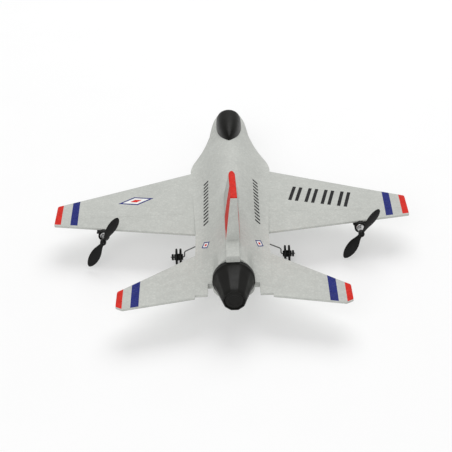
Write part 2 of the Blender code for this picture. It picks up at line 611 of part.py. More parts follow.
def make_nozzle():
    """A thin conical shell, slotted at the top for the fairing, with a flat plate in its end."""
    collar, end, wall = NOZZLE_COLLAR_RADIUS, NOZZLE_END_RADIUS, NOZZLE_WALL
    profile = [(collar, NOZZLE_FRONT_Y), (collar, NOZZLE_SHOULDER_Y), (end, NOZZLE_REAR_Y),
               (end - wall, NOZZLE_REAR_Y), (end - wall, NOZZLE_REAR_Y - 2.5 * MM),
               (collar - 1.3 * wall, NOZZLE_SHOULDER_Y), (collar - 1.3 * wall, NOZZLE_FRONT_Y)]
    shell = turned("nozzle_shell", profile, (0, 0, NOZZLE_Z), (0, 1, 0), "black_plastic", steps=32)
    slot = box("nozzle_slot", (-FAIRING_HALF_WIDTH - CLEARANCE, 125 * MM, FAIRING_BOTTOM_Z - CLEARANCE),
               (FAIRING_HALF_WIDTH + CLEARANCE, FAIRING_REAR_Y + CLEARANCE, 60 * MM))
    cut(shell, slot)
    rod("nozzle_end_plate", (0, NOZZLE_REAR_Y - 1.8 * MM, NOZZLE_Z), (0, NOZZLE_REAR_Y - 0.6 * MM, NOZZLE_Z),
        end - wall - CLEARANCE, "black_plastic", sides=24)


# ---- Motors and propellers ----------------------------------------------------------------------
def mount_shapes(side, sign, label, grow=0.0):
    """The motor pod's outer shape: a barrel and the thin plate that glues it under the wing."""
    x = sign * MOTOR_X
    barrel = rod(f"pod_{label}_{side}", (x, 43 * MM - grow, MOTOR_Z), (x, 57 * MM + grow, MOTOR_Z),
                 POD_RADIUS + grow, "black_plastic", sides=20)
    plate = box(f"plate_{label}_{side}", (x - 5.75 * MM - grow, 45.5 * MM - grow, 28.6 * MM - grow),
                (x + 5.75 * MM + grow, 56.2 * MM + grow, 29.6 * MM + grow))
    return barrel, plate


def make_motor(side, sign):
    x = sign * MOTOR_X
    barrel, plate = mount_shapes(side, sign, "part")
    bore = rod(f"motor_bore_{side}", (x, 30 * MM, MOTOR_Z), (x, 70 * MM, MOTOR_Z),
               MOTOR_RADIUS + CLEARANCE, sides=20)
    barrel.name = f"motor_mount_{side}"
    extend(barrel, plate)
    cut(barrel, bore)
    rod(f"motor_can_{side}", (x, MOTOR_FRONT_Y, MOTOR_Z), (x, MOTOR_REAR_Y, MOTOR_Z), MOTOR_RADIUS, "steel")
    cap_front_y, cap_rear_y = MOTOR_FRONT_Y - 2.3 * MM, MOTOR_FRONT_Y - CLEARANCE
    rod(f"motor_end_cap_{side}", (x, cap_front_y, MOTOR_Z), (x, cap_rear_y, MOTOR_Z),
        MOTOR_RADIUS - 0.2 * MM, "white_plastic")
    rod(f"motor_shaft_{side}", (x, MOTOR_REAR_Y + CLEARANCE, MOTOR_Z), (x, PROPELLER_Y + 1.6 * MM, MOTOR_Z),
        SHAFT_RADIUS, "steel", sides=10, origin=(x, PROPELLER_Y, MOTOR_Z))


def make_motor_wire(side, sign):
    """The motor's lead, from its end cap along the slot under the wing and into the body."""
    y, cap_edge = MOTOR_WIRE_Y, MOTOR_X - MOTOR_RADIUS - CLEARANCE
    route = [(sign * x, y, z) for x, z in ((cap_edge, 26.7 * MM), (cap_edge - 2 * MM, 26.7 * MM),
                                           (cap_edge - 6 * MM, WIRE_LEVEL_Z), (16 * MM, WIRE_LEVEL_Z))]
    wire(f"motor_wire_{side}", route, MOTOR_WIRE_RADIUS, "red_wire", bend=0.9 * MM)


def blade_rings(lean):
    """Sections of one blade from the hub to the round tip; the pitch falls off along the blade."""
    rings = []
    for along, chord, pitch in ((0.045, 3.2, 40), (0.20, 4.6, 36), (0.42, 7.2, 29), (0.65, 7.8, 22),
                                (0.84, 6.6, 17), (0.95, 4.4, 15), (1.0, 2.0, 14)):
        radius, half, twist = along * PROPELLER_RADIUS, chord * MM / 2, math.radians(pitch)
        thick = (1.3 - 0.8 * along) * MM / 2
        ring = []
        for k in range(10):
            a = 2 * math.pi * k / 10
            across, deep = half * math.cos(a), thick * math.sin(a)
            ring.append((across * math.cos(twist) - deep * math.sin(twist),
                         across * math.sin(twist) + deep * math.cos(twist), radius))
        rings.append([lean @ Vector(point) for point in ring])
    return rings


def make_propeller(side, sign):
    """Hub and two blades in one moulding; the shaft sits in a bore through the hub."""
    centre = Vector((sign * MOTOR_X, PROPELLER_Y, MOTOR_Z))
    hub_profile = [(SHAFT_RADIUS + CLEARANCE, -2.6 * MM), (2.5 * MM, -2.6 * MM), (2.5 * MM, 1.4 * MM),
                   (1.6 * MM, 2.6 * MM), (SHAFT_RADIUS + CLEARANCE, 2.6 * MM)]
    propeller = turned(f"propeller_{side}", hub_profile, centre, (0, 1, 0), "propeller_plastic", steps=20,
                       origin=centre)
    for number, half_turn in enumerate((0, math.pi)):
        lean = Matrix.Rotation(-PROPELLER_REST_ANGLE + half_turn, 3, "Y")
        rings = [[centre + point for point in ring] for ring in blade_rings(lean)]
        extend(propeller, loft(f"blade_{side}_{number}", rings, None))


# ---- Landing gear -------------------------------------------------------------------------------
def wheel_profile(radius, half_hub, hub_radius, disc_gap, disc_width):
    """Twin thin discs on one hub, as a closed half section around the axle."""
    bore = WIRE_RADIUS + CLEARANCE
    inner, outer = disc_gap / 2, disc_gap / 2 + disc_width
    right = [(hub_radius, inner), (radius - 0.3 * MM, inner), (radius, inner + 0.3 * MM),
             (radius, outer - 0.3 * MM), (radius - 0.3 * MM, outer), (hub_radius, outer)]
    left = [(r, -s) for r, s in right[::-1]]
    return [(bore, -half_hub), (hub_radius, -half_hub), *left, *right,
            (hub_radius, half_hub), (bore, half_hub)]


def cap_profile(radius, width):
    """Half section of the collar that is pressed on the end of an axle."""
    bore = WIRE_RADIUS + CLEARANCE
    return [(bore, 0), (radius, 0), (radius, width), (bore, width)]


def make_main_gear(side, sign):
    """A sprung wire leg, its double wheel and the collar that keeps the wheel on."""
    y, axle_z = MAIN_WHEEL_Y, MAIN_WHEEL_RADIUS
    corners = ((sign * 6 * MM, y, LEG_TOP_Z), (sign * 26 * MM, y, LEG_TOP_Z), (sign * MAIN_LEG_X, y, 12 * MM),
               (sign * MAIN_LEG_X, y, axle_z), (sign * 50.7 * MM, y, axle_z))
    wire(f"main_gear_leg_{side}", corners, WIRE_RADIUS, "steel", bend=1.6 * MM)
    centre = Vector((sign * MAIN_WHEEL_X, y, axle_z))
    profile = wheel_profile(MAIN_WHEEL_RADIUS, 3.6 * MM, 2.5 * MM, 1.8 * MM, 1.5 * MM)
    turned(f"wheel_{side}", profile, centre, (1, 0, 0), "black_plastic", steps=28, origin=centre)
    cap_centre = centre + Vector((sign * 4.0 * MM, 0, 0))
    turned(f"wheel_cap_{side}", cap_profile(2.6 * MM, 1.6 * MM), cap_centre, (sign, 0, 0), "black_plastic",
           steps=16)


def gear_screw_rings(x, y):
    """A pan-head screw with its head down, as four rings from the head to the tip."""
    rings = []
    for radius, z in ((1.6, 14.4), (1.6, 15.3), (0.8, 15.3), (0.8, 21.2)):
        angles = [2 * math.pi * k / 12 for k in range(12)]
        rings.append([Vector((x + radius * MM * math.cos(a), y + radius * MM * math.sin(a), z * MM))
                      for a in angles])
    return rings


def make_main_gear_mount():
    """A plastic block and a clamp plate that hold both wires, fixed with two screws."""
    block = box("main_gear_block", (-GEAR_BLOCK_HALF_WIDTH, GEAR_BLOCK_FRONT_Y, GEAR_BLOCK_BOTTOM_Z),
                (GEAR_BLOCK_HALF_WIDTH, GEAR_BLOCK_REAR_Y, 19.0 * MM), "black_plastic")
    groove = box("leg_groove", (-20 * MM, MAIN_WHEEL_Y - 0.8 * MM, LEG_TOP_Z - 0.8 * MM),
                 (20 * MM, MAIN_WHEEL_Y + 0.8 * MM, 22 * MM))
    clamp = box("main_gear_clamp", (-GEAR_BLOCK_HALF_WIDTH, GEAR_BLOCK_FRONT_Y, 19.4 * MM),
                (GEAR_BLOCK_HALF_WIDTH, GEAR_BLOCK_REAR_Y, 21.6 * MM), "black_plastic")
    for side, sign in SIDES:
        x, y = sign * 2.8 * MM, GEAR_BLOCK_FRONT_Y + 3 * MM
        hole = rod(f"screw_hole_{side}", (x, y, UNDER_Z), (x, y, 30 * MM), 1.2 * MM)
        head_seat = rod(f"screw_head_seat_{side}", (x, y, UNDER_Z), (x, y, 15.6 * MM), 2.0 * MM)
        cut(block, hole, head_seat)
        cut(clamp, hole)
        loft(f"gear_screw_{side}", gear_screw_rings(x, y), "steel")
    cut(block, groove)


def nose_block_corners():
    """Lowest and highest corner of the block that holds the nose leg."""
    return (Vector((-2 * MM, NOSE_WHEEL_Y - 5 * MM, NOSE_BLOCK_BOTTOM_Z)),
            Vector((8 * MM, NOSE_WHEEL_Y + 5 * MM, NOSE_BLOCK_TOP_Z)))


def make_nose_gear():
    """A single wheel on a wire that drops from a block in the belly."""
    y, axle_z = NOSE_WHEEL_Y, NOSE_WHEEL_RADIUS
    block = box("nose_gear_block", *nose_block_corners(), "black_plastic")
    leg_top_z = NOSE_BLOCK_TOP_Z - 1.4 * MM
    bore = rod("nose_leg_bore", (NOSE_LEG_X, y, UNDER_Z), (NOSE_LEG_X, y, leg_top_z + CLEARANCE),
               WIRE_RADIUS + CLEARANCE)
    cut(block, bore)
    wire("nose_gear_leg", ((NOSE_LEG_X, y, leg_top_z), (NOSE_LEG_X, y, axle_z), (-5.6 * MM, y, axle_z)),
         WIRE_RADIUS, "steel", bend=1.2 * MM)
    centre = Vector((0, y, axle_z))
    profile = wheel_profile(NOSE_WHEEL_RADIUS, 2.8 * MM, 2.0 * MM, 1.4 * MM, 1.2 * MM)
    turned("nose_wheel", profile, centre, (1, 0, 0), "black_plastic", steps=24, origin=centre)
    turned("nose_wheel_cap", cap_profile(1.7 * MM, 1.2 * MM), centre + Vector((-3.2 * MM, 0, 0)), (-1, 0, 0),
           "black_plastic", steps=16)


# ---- Battery and electronics ----------------------------------------------------------------------
def make_battery_tray():
    """A plastic bay open underneath, with grooves that the door slides back along."""
    wall = 1.1 * MM
    inner_half = BAY_HALF_WIDTH - 2 * wall
    tray = box("battery_tray", (-BAY_HALF_WIDTH, BAY_FRONT_Y, BAY_BOTTOM_Z),
               (BAY_HALF_WIDTH, BAY_REAR_Y, BAY_TOP_Z), "black_plastic")
    hollow = box("tray_hollow", (-inner_half, BAY_FRONT_Y + wall, UNDER_Z),
                 (inner_half, BAY_REAR_Y - wall, BAY_TOP_Z - wall))
    groove = box("door_groove", (-DOOR_HALF_WIDTH - CLEARANCE, BAY_FRONT_Y + wall, DOOR_BOTTOM_Z - CLEARANCE),
                 (DOOR_HALF_WIDTH + CLEARANCE, 0, DOOR_TOP_Z + CLEARANCE))
    way_out = box("door_way_out", (-inner_half, BAY_REAR_Y - 2 * wall, UNDER_Z),
                  (inner_half, 0, DOOR_TOP_Z + CLEARANCE))
    lead_hole = rod("lead_hole", (0, BAY_REAR_Y - 5 * MM, LEAD_Z), (0, BAY_REAR_Y + 5 * MM, LEAD_Z), 2.2 * MM)
    cut(tray, hollow, groove, way_out, lead_hole)
    door = box("battery_door", (-DOOR_HALF_WIDTH, BAY_FRONT_Y + wall + CLEARANCE, DOOR_BOTTOM_Z),
               (DOOR_HALF_WIDTH, BAY_REAR_Y, DOOR_TOP_Z), "black_plastic")
    for number in range(GRIP_RIB_COUNT):
        y = GRIP_RIB_FRONT_Y + GRIP_RIB_PITCH * number
        extend(door, box(f"grip_rib_{number}", (-5 * MM, y, DOOR_BOTTOM_Z - 0.7 * MM),
                         (5 * MM, y + 1.2 * MM, DOOR_BOTTOM_Z + 0.4 * MM)))


def make_battery():
    """The wrapped cell, its lead and the plug that joins it to the board's socket."""
    box("battery", (-9.8 * MM, -93.6 * MM, 14.4 * MM), (9.8 * MM, -58.6 * MM, 21.0 * MM), "battery_wrap",
        bevel=1.2 * MM)
    route = ((4 * MM, -58.2 * MM, 18.4 * MM), (3 * MM, -54.5 * MM, 19.4 * MM), (0, -50.5 * MM, LEAD_Z),
             (0, -44.4 * MM, LEAD_Z))
    wire("battery_lead", route, 0.9 * MM, "red_wire", bend=1.2 * MM)
    box("battery_plug", (-3 * MM, -44 * MM, LEAD_Z - 1.8 * MM), (3 * MM, -37.5 * MM, LEAD_Z + 1.8 * MM),
        "white_plastic")
    box("board_socket", (-3.4 * MM, -37.2 * MM, LEAD_Z - 2.2 * MM), (3.4 * MM, -31 * MM, LEAD_Z + 2.2 * MM),
        "white_plastic")


def make_board():
    """The receiver and gyro board on its tray, with its chips, its aerial and the motor sockets."""
    tray = box("board_tray", (-11 * MM, -28 * MM, 28.0 * MM), (11 * MM, 12 * MM, 31.2 * MM), "grey_plastic")
    recess = box("board_recess", (-9.8 * MM, -26.8 * MM, 29.2 * MM), (9.8 * MM, 10.8 * MM, 38 * MM))
    cut(tray, recess)
    board = box("receiver_board", (-9.4 * MM, -26.4 * MM, 29.6 * MM), (9.4 * MM, 10.4 * MM, BOARD_TOP_Z),
                "board")
    for name, x, y, half_x, half_y, height in BOARD_PARTS:
        low = Vector((x - half_x, y - half_y, -0.4)) * MM
        high = Vector((x + half_x, y + half_y, height)) * MM
        lift = Vector((0, 0, BOARD_TOP_Z))
        extend(board, box(name, low + lift, high + lift))
    route = ((7 * MM, 10.9 * MM, 32.4 * MM), (7 * MM, 20 * MM, 34.5 * MM), (7 * MM, 34 * MM, 34.5 * MM),
             (-2 * MM, 47 * MM, 34.5 * MM))
    wire("antenna_wire", route, 0.3 * MM, "carbon", bend=3 * MM)


def make_switch():
    """Slide switch and lamp in the belly; the knob travels 2 mm along the body."""
    body = box("power_switch_body", (-6 * MM, SWITCH_Y - 5 * MM, 14.4 * MM),
               (-0.5 * MM, SWITCH_Y + 5 * MM, 18.8 * MM), "grey_plastic")
    track = box("switch_track", (-4.4 * MM, SWITCH_Y - 2.4 * MM, UNDER_Z),
                (-2.1 * MM, SWITCH_Y + 2.4 * MM, 16.6 * MM))
    cut(body, track)
    knob_y = SWITCH_Y - 1.0 * MM
    box("power_switch_knob", (-4.0 * MM, knob_y - 1.0 * MM, 13.1 * MM),
        (-2.5 * MM, knob_y + 1.0 * MM, 16.2 * MM), "white_plastic", origin=(-3.25 * MM, knob_y, 14.6 * MM))
    rod("status_lamp", (LAMP_X, SWITCH_Y, 13.7 * MM), (LAMP_X, SWITCH_Y, 18.7 * MM), LAMP_RADIUS, "lamp",
        sides=14)


def main():
    clear_scene()
    make_body()
    make_nose_cone()
    make_fin()
    make_spar()
    make_canopy()
    make_nozzle()
    for side, sign in SIDES:
        make_wing(side, sign)
        make_tailplane(side, sign)
        make_motor(side, sign)
        make_motor_wire(side, sign)
        make_propeller(side, sign)
        make_main_gear(side, sign)
    make_main_gear_mount()
    make_nose_gear()
    make_battery_tray()
    make_battery()
    make_board()
    make_switch()


main()
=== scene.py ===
import json
import math

import bmesh
import bpy
import numpy as np
from mathutils import Matrix, Vector

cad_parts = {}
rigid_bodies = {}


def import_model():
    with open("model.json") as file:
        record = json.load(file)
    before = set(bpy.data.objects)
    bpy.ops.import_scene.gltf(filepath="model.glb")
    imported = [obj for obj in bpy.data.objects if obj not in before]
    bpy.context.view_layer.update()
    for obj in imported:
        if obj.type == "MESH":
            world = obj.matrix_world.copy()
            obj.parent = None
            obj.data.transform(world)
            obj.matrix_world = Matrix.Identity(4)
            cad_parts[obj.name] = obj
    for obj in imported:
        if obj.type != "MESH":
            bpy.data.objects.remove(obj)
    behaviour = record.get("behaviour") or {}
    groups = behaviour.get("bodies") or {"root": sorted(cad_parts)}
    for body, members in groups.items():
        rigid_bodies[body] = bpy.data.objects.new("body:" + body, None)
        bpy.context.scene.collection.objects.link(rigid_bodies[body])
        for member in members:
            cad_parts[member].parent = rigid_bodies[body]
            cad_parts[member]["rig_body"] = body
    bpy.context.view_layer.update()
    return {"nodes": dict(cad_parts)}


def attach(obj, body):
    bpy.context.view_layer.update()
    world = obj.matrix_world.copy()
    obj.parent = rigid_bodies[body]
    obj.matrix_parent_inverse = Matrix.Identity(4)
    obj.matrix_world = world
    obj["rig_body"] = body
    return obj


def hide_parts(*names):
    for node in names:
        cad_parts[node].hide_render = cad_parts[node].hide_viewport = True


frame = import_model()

# Millimetres are the unit of every table here; the scene itself is in metres.
MM = 0.001
SIDES = (("left", 1), ("right", -1))
SMOOTH_ANGLE, BEVEL_ANGLE = math.radians(38), math.radians(40)

# ---- Sizes shared with the CAD model ----
HALF_SPAN = 145.0
NOSE_Y, TAIL_Y = -170.0, 170.0
PARTING_Z, PARTING_GAP = 28.0, 0.18
WING_TOP_Z, WING_MID_Z = 33.5, 30.7
BODY_STATIONS = (          # y, half width, top height, bottom height
    (-146, 11.8, 36.6, 17.2),
    (-128, 15.2, 43.8, 17.5),
    (-112, 17.0, 48.0, 17.7),
    (-106, 17.6, 49.9, 17.6),
    (-99, 18.3, 50.7, 14.0),
    (-84, 21.4, 51.9, 14.0),
    (-71, 25.0, 52.5, 14.0),
    (-58, 29.2, 52.7, 14.0),
    (-46, 32.8, 52.7, 14.0),
    (-34.7, 34.3, 52.7, 14.0),
    (67, 29.3, 52.5, 14.0),
    (105, 29.3, 52.7, 15.5),
    (155, 29.3, 53.5, 18.8),
)
BODY_FRONT_Y, BODY_REAR_Y = -146.0, 155.0
NOSE_SHAPE_END_Y, WING_SHAPE_START_Y = -112.0, -35.0
NOSE_EDGE_Z, NOSE_TIP_Z = 30.0, 23.0
BELLY_NARROWING_YS, BELLY_REAR_HALF_WIDTH = (95.0, 136.0), 15.6
FLANK_SINKING_YS, FLANK_SINKING_XS = (108.0, 141.0), (11.0, 16.0)
SHELF_SLOPING_YS, SHELF_DROP = (125.0, 155.0), 1.7
TAB_THINNING_YS, TAB_RISE = (141.0, 155.0), 2.0
WING_ROOT_FRONT, WING_ROOT_REAR = (34.6, -34.7), (29.6, 67.0)
WING_TIP_FRONT, WING_TIP_REAR = (145.0, 15.0), (145.0, 46.0)
WING_ROOT_THICKNESS, WING_TIP_THICKNESS = 5.6, 3.8
TAIL_ROOT_X, TAIL_CORNER_X, TAIL_TIP_X = 29.6, 82.2, 87.5
TAIL_ROOT_YS, TAIL_TIP_YS = (98.8, 158.0), (146.7, 166.8)
TAIL_THICKNESS = 4.6
EDGE_THICKNESS = 1.8
ROOT_OVERLAP = 0.35        # wings and tailplanes start this much further in than the CAD's, closing the gap
FIN_ROOT_Z, FIN_TIP_Z = 47.5, 89.6
FIN_ROOT_YS, FIN_TIP_YS = (20.5, 119.7), (69.9, 110.8)
FIN_ROOT_THICKNESS, FIN_TIP_THICKNESS = 12.2, 5.0
FIN_LEAN_FRONT, FIN_LEAN_REAR = 1.0, 2.1
FAIRING_YS, FAIRING_ZS, FAIRING_HALF_WIDTH = (101.0, 141.0), (51.0, 56.1), 5.3
CANOPY_FRONT_Y, CANOPY_WIDEST_Y, CANOPY_REAR_Y = -110.5, -97.5, -56.0
CANOPY_BASE_Z, CANOPY_TOP_Z, CANOPY_TAIL_Z, CANOPY_HALF_WIDTH = 44.5, 61.4, 54.0, 11.2
NOZZLE_Z, NOZZLE_COLLAR_RADIUS, NOZZLE_END_RADIUS = 34.9, 16.0, 8.7
NOZZLE_FRONT_Y, NOZZLE_SHOULDER_Y, NOZZLE_REAR_Y = 138.0, 142.5, 168.5
NOZZLE_WALL = 1.2
NOTCH_HALF_WIDTH, NOTCH_FRONT_Y = 19.6, 141.0
MOTOR_X, MOTOR_Z, MOTOR_RADIUS = 104.0, 26.5, 3.5
MOTOR_FRONT_Y, MOTOR_REAR_Y, POD_RADIUS, POD_YS = 41.0, 57.0, 4.6, (43.0, 57.0)
MOUNT_PLATE_HALF_WIDTH, MOUNT_PLATE_YS, MOUNT_PLATE_ZS = 5.75, (45.5, 56.2), (28.6, 29.6)
PROPELLER_RADIUS, PROPELLER_Y, PROPELLER_LEAN = 26.0, 66.2, math.radians(31)
WIRE_SLOT_Y, WIRE_SLOT_HALF, WIRE_SLOT_TOP_Z, WIRE_LEVEL_Z = 39.8, 0.9, 30.5, 29.6
WHEEL_X, WHEEL_Y, WHEEL_RADIUS, LEG_X = 44.3, 61.2, 7.0, 39.3
NOSE_WHEEL_Y, NOSE_WHEEL_RADIUS, NOSE_LEG_X = -112.0, 6.0, 5.0
LEG_TOP_Z, LEG_RADIUS = 18.6, 0.5
CLEARANCE = 0.3            # the gap left between neighbouring parts
BAY_HALF_WIDTH, BAY_YS, BAY_TOP_Z = 12.6, (-96.0, -50.0), 30.0
GEAR_BLOCK_HALF_WIDTH, GEAR_BLOCK_HALF_LENGTH, GEAR_SEAT_TOP_Z = 16.0, 6.0, 22.6
LEG_SLOT_HALF, LEG_SLOT_TOP_Z = 0.9, 19.8
NOSE_BLOCK_XS, NOSE_BLOCK_HALF_LENGTH, NOSE_SEAT_TOP_Z = (-2.0, 8.0), 5.0, 22.9
SWITCH_SEAT_XS, SWITCH_SEAT_YS, SWITCH_SEAT_TOP_Z = (-6.3, -0.2), (0.7, 11.3), 21.0
LAMP_X, LAMP_Y, LAMP_SEAT_RADIUS = 5.0, 6.0, 1.8
WIDE_X, UNDER_Z, OVER_Z, BEHIND_Y = 40.0, 5.0, 70.0, 180.0     # where cutters end, clear of the body

# ---- Colours, linear ----
FOAM_COLOUR = (0.515, 0.528, 0.498)
RED_INK, BLUE_INK = (0.62, 0.018, 0.009), (0.011, 0.019, 0.165)
BLACK_INK, WHITE_INK = (0.010, 0.010, 0.011), (0.80, 0.81, 0.80)
BEAD_SIZE = 2.4


# ---- Material nodes ----
class Shader:
    """A Principled material with short ways to add and join nodes."""

    def __init__(self, name, colour, roughness, metallic=0.0):
        self.material = bpy.data.materials.new(name)
        self.material.use_nodes = True
        self.material.diffuse_color = (*colour, 1.0)
        self.nodes = self.material.node_tree.nodes
        self.links = self.material.node_tree.links
        self.surface = self.nodes["Principled BSDF"]
        self.surface.inputs["Base Color"].default_value = (*colour, 1.0)
        self.surface.inputs["Roughness"].default_value = roughness
        self.surface.inputs["Metallic"].default_value = metallic
        self.place = self.nodes.new("ShaderNodeTexCoord").outputs["Object"]

    def add(self, kind, sockets=(), **settings):
        node = self.nodes.new(kind)
        for key, value in settings.items():
            setattr(node, key, value)
        for key, value in dict(sockets).items():
            if isinstance(value, bpy.types.NodeSocket):
                self.links.new(value, node.inputs[key])
            else:
                node.inputs[key].default_value = value
        return node

    def stretched(self, scale):
        return self.add("ShaderNodeMapping", {"Vector": self.place, "Scale": scale}).outputs["Vector"]

    def noise(self, size, detail=3.0, roughness=0.55, place=None):
        """Noise whose blobs are about `size` millimetres across."""
        return self.add("ShaderNodeTexNoise", {"Vector": place or self.place, "Scale": 1 / (size * MM),
                                               "Detail": detail, "Roughness": roughness}).outputs["Fac"]

    def cells(self, size, feature="F1"):
        return self.add("ShaderNodeTexVoronoi", {"Vector": self.place, "Scale": 1 / (size * MM)},
                        feature=feature)

    def ranged(self, value, low, high, to_low, to_high, kind="LINEAR"):
        return self.add("ShaderNodeMapRange", {"Value": value, "From Min": low, "From Max": high,
                                               "To Min": to_low, "To Max": to_high},
                        interpolation_type=kind).outputs["Result"]

    def math(self, operation, first, second):
        return self.add("ShaderNodeMath", {0: first, 1: second}, operation=operation).outputs["Value"]

    def mixed(self, factor, first, second, blend="MIX"):
        node = self.add("ShaderNodeMix", data_type="RGBA", blend_type=blend)
        for slot, value in ((0, factor), (6, first), (7, second)):
            if isinstance(value, bpy.types.NodeSocket):
                self.links.new(value, node.inputs[slot])
            elif slot:
                node.inputs[slot].default_value = (*value, 1.0)
            else:
                node.inputs[slot].default_value = value
        return node.outputs[2]

    def scaled_colour(self, colour, factor):
        """The colour made lighter or darker by a value near 1."""
        grey = self.add("ShaderNodeCombineColor", {0: factor, 1: factor, 2: factor}).outputs["Color"]
        return self.mixed(1.0, colour, grey, "MULTIPLY")

    def bump(self, height, depth, strength=1.0, below=None):
        """Relief of `depth` millimetres, laid over `below` if that is given."""
        sockets = {"Height": height, "Distance": depth * MM, "Strength": strength}
        if below:
            sockets["Normal"] = below
        return self.add("ShaderNodeBump", sockets).outputs["Normal"]

    def finish(self, colour=None, roughness=None, normal=None):
        for key, value in (("Base Color", colour), ("Roughness", roughness), ("Normal", normal)):
            if value is not None:
                self.links.new(value, self.surface.inputs[key])
        return self.material


def bead_foam(name, ink=None):
    """Moulded bead foam: pressed round cells with fine pits; `ink` prints a colour over it."""
    shader = Shader(name, ink or FOAM_COLOUR, 0.62 if ink else 0.74)
    shader.surface.inputs["Specular IOR Level"].default_value = 0.12 if ink else 0.34
    edges = shader.cells(BEAD_SIZE, "DISTANCE_TO_EDGE").outputs["Distance"]
    dome = shader.ranged(edges, 0.0, 0.30, 0.0, 1.0, "SMOOTHSTEP")
    tint = shader.add("ShaderNodeSeparateColor",
                      {"Color": shader.cells(BEAD_SIZE).outputs["Color"]}).outputs[0]
    cell_tone = shader.ranged(tint, 0.0, 1.0, 0.955, 1.04)
    groove_tone = shader.ranged(dome, 0.0, 1.0, 0.93, 1.0)
    broad_tone = shader.ranged(shader.noise(26, 3), 0.3, 0.7, 0.965, 1.03)
    tone = shader.math("MULTIPLY", shader.math("MULTIPLY", cell_tone, groove_tone), broad_tone)
    colour = shader.scaled_colour(FOAM_COLOUR, tone)
    fine = shader.noise(0.55, 4, 0.6)
    if ink:
        printed = shader.scaled_colour(ink, shader.ranged(tint, 0.0, 1.0, 0.90, 1.08))
        thin = shader.ranged(shader.math("ADD", fine, shader.ranged(dome, 0.0, 0.4, 0.17, 0.0)),
                             0.66, 0.80, 0.0, 0.12)
        colour = shader.mixed(thin, printed, colour)
    roughness = shader.ranged(shader.noise(5, 3), 0.3, 0.7, 0.52 if ink else 0.66, 0.68 if ink else 0.82)
    relief = shader.bump(fine, 0.05, 0.55, shader.bump(dome, 0.16, 0.55))
    return shader.finish(colour, roughness, relief)


def moulded_plastic(name, colour, roughness, grain=0.35, depth=0.02, wear=0.0):
    """Moulded plastic: fine spark-eroded grain, slow colour drift and rubbed, paler high spots."""
    shader = Shader(name, colour, roughness)
    shader.surface.inputs["Specular IOR Level"].default_value = 0.16
    drift = shader.ranged(shader.noise(9, 3), 0.3, 0.7, 0.82, 1.2)
    tinted = shader.scaled_colour(colour, drift)
    if wear:
        rubbed = shader.ranged(shader.noise(1.7, 5, 0.7), 0.60, 0.74, 0.0, wear)
        tinted = shader.mixed(rubbed, tinted, tuple(min(1.0, channel * 2.2 + 0.008) for channel in colour))
    gloss = shader.ranged(shader.noise(4, 4), 0.3, 0.7, roughness - 0.05, roughness + 0.07)
    relief = shader.bump(shader.noise(grain, 3), depth, 0.6, shader.bump(shader.noise(7, 2), 0.05, 0.25))
    return shader.finish(tinted, gloss, relief)


def skinned_foam(name, colour):
    """Black vacuum-formed skin over foam: satin, with the beads just showing through."""
    shader = Shader(name, colour, 0.36)
    shader.surface.inputs["Specular IOR Level"].default_value = 0.09
    dome = shader.ranged(shader.cells(BEAD_SIZE, "DISTANCE_TO_EDGE").outputs["Distance"],
                         0.0, 0.3, 0.0, 1.0, "SMOOTHSTEP")
    tinted = shader.scaled_colour(colour, shader.ranged(shader.noise(6, 4), 0.3, 0.7, 0.75, 1.3))
    gloss = shader.ranged(shader.noise(3, 4), 0.3, 0.7, 0.32, 0.44)
    relief = shader.bump(shader.noise(0.4, 3), 0.02, 0.5, shader.bump(dome, 0.05, 0.3))
    return shader.finish(tinted, gloss, relief)


def drawn_metal(name, colour, roughness, stretch):
    """Metal with fine lines along one axis and a few darker stains."""
    shader = Shader(name, colour, roughness, 1.0)
    lines = shader.noise(0.25, 3, 0.6, shader.stretched(stretch))
    tinted = shader.scaled_colour(colour, shader.ranged(shader.noise(3, 4), 0.3, 0.75, 1.05, 0.72))
    gloss = shader.ranged(lines, 0.3, 0.7, roughness - 0.06, roughness + 0.12)
    return shader.finish(tinted, gloss, shader.bump(lines, 0.012, 0.4))


def woven_rod(name):
    """Pultruded carbon: matt black with long fibres."""
    shader = Shader(name, (0.02, 0.02, 0.022), 0.42)
    fibres = shader.noise(0.3, 3, 0.6, shader.stretched((0.06, 1, 1)))
    tinted = shader.scaled_colour((0.022, 0.022, 0.024), shader.ranged(fibres, 0.3, 0.7, 0.6, 1.7))
    gloss = shader.ranged(fibres, 0.3, 0.7, 0.34, 0.52)
    return shader.finish(tinted, gloss, shader.bump(fibres, 0.015, 0.5))


def circuit_board():
    """Green solder mask over tracks, with small bright pads; parts above the mask are dark."""
    shader = Shader("circuit_board", (0.012, 0.10, 0.045), 0.4)
    tracks = shader.add("ShaderNodeTexBrick", {"Vector": shader.place, "Scale": 1 / (3.2 * MM),
                                               "Mortar Size": 0.05, "Color1": (0, 0, 0, 1),
                                               "Color2": (0, 0, 0, 1), "Mortar": (1, 1, 1, 1)})
    line = tracks.outputs["Color"]
    mask = shader.mixed(line, (0.010, 0.085, 0.038), (0.02, 0.17, 0.07))
    pads = shader.ranged(shader.cells(1.7).outputs["Distance"], 0.16, 0.20, 1.0, 0.0)
    coloured = shader.mixed(pads, mask, (0.52, 0.50, 0.42))
    height = shader.add("ShaderNodeSeparateXYZ", {"Vector": shader.place}).outputs["Z"]
    part = shader.ranged(height, 30.75 * MM, 30.80 * MM, 0.0, 1.0)
    coloured = shader.mixed(part, coloured, (0.018, 0.018, 0.02))
    gloss = shader.ranged(shader.noise(2, 3), 0.3, 0.7, 0.3, 0.5)
    return shader.finish(coloured, gloss, shader.bump(line, 0.03, 0.5))


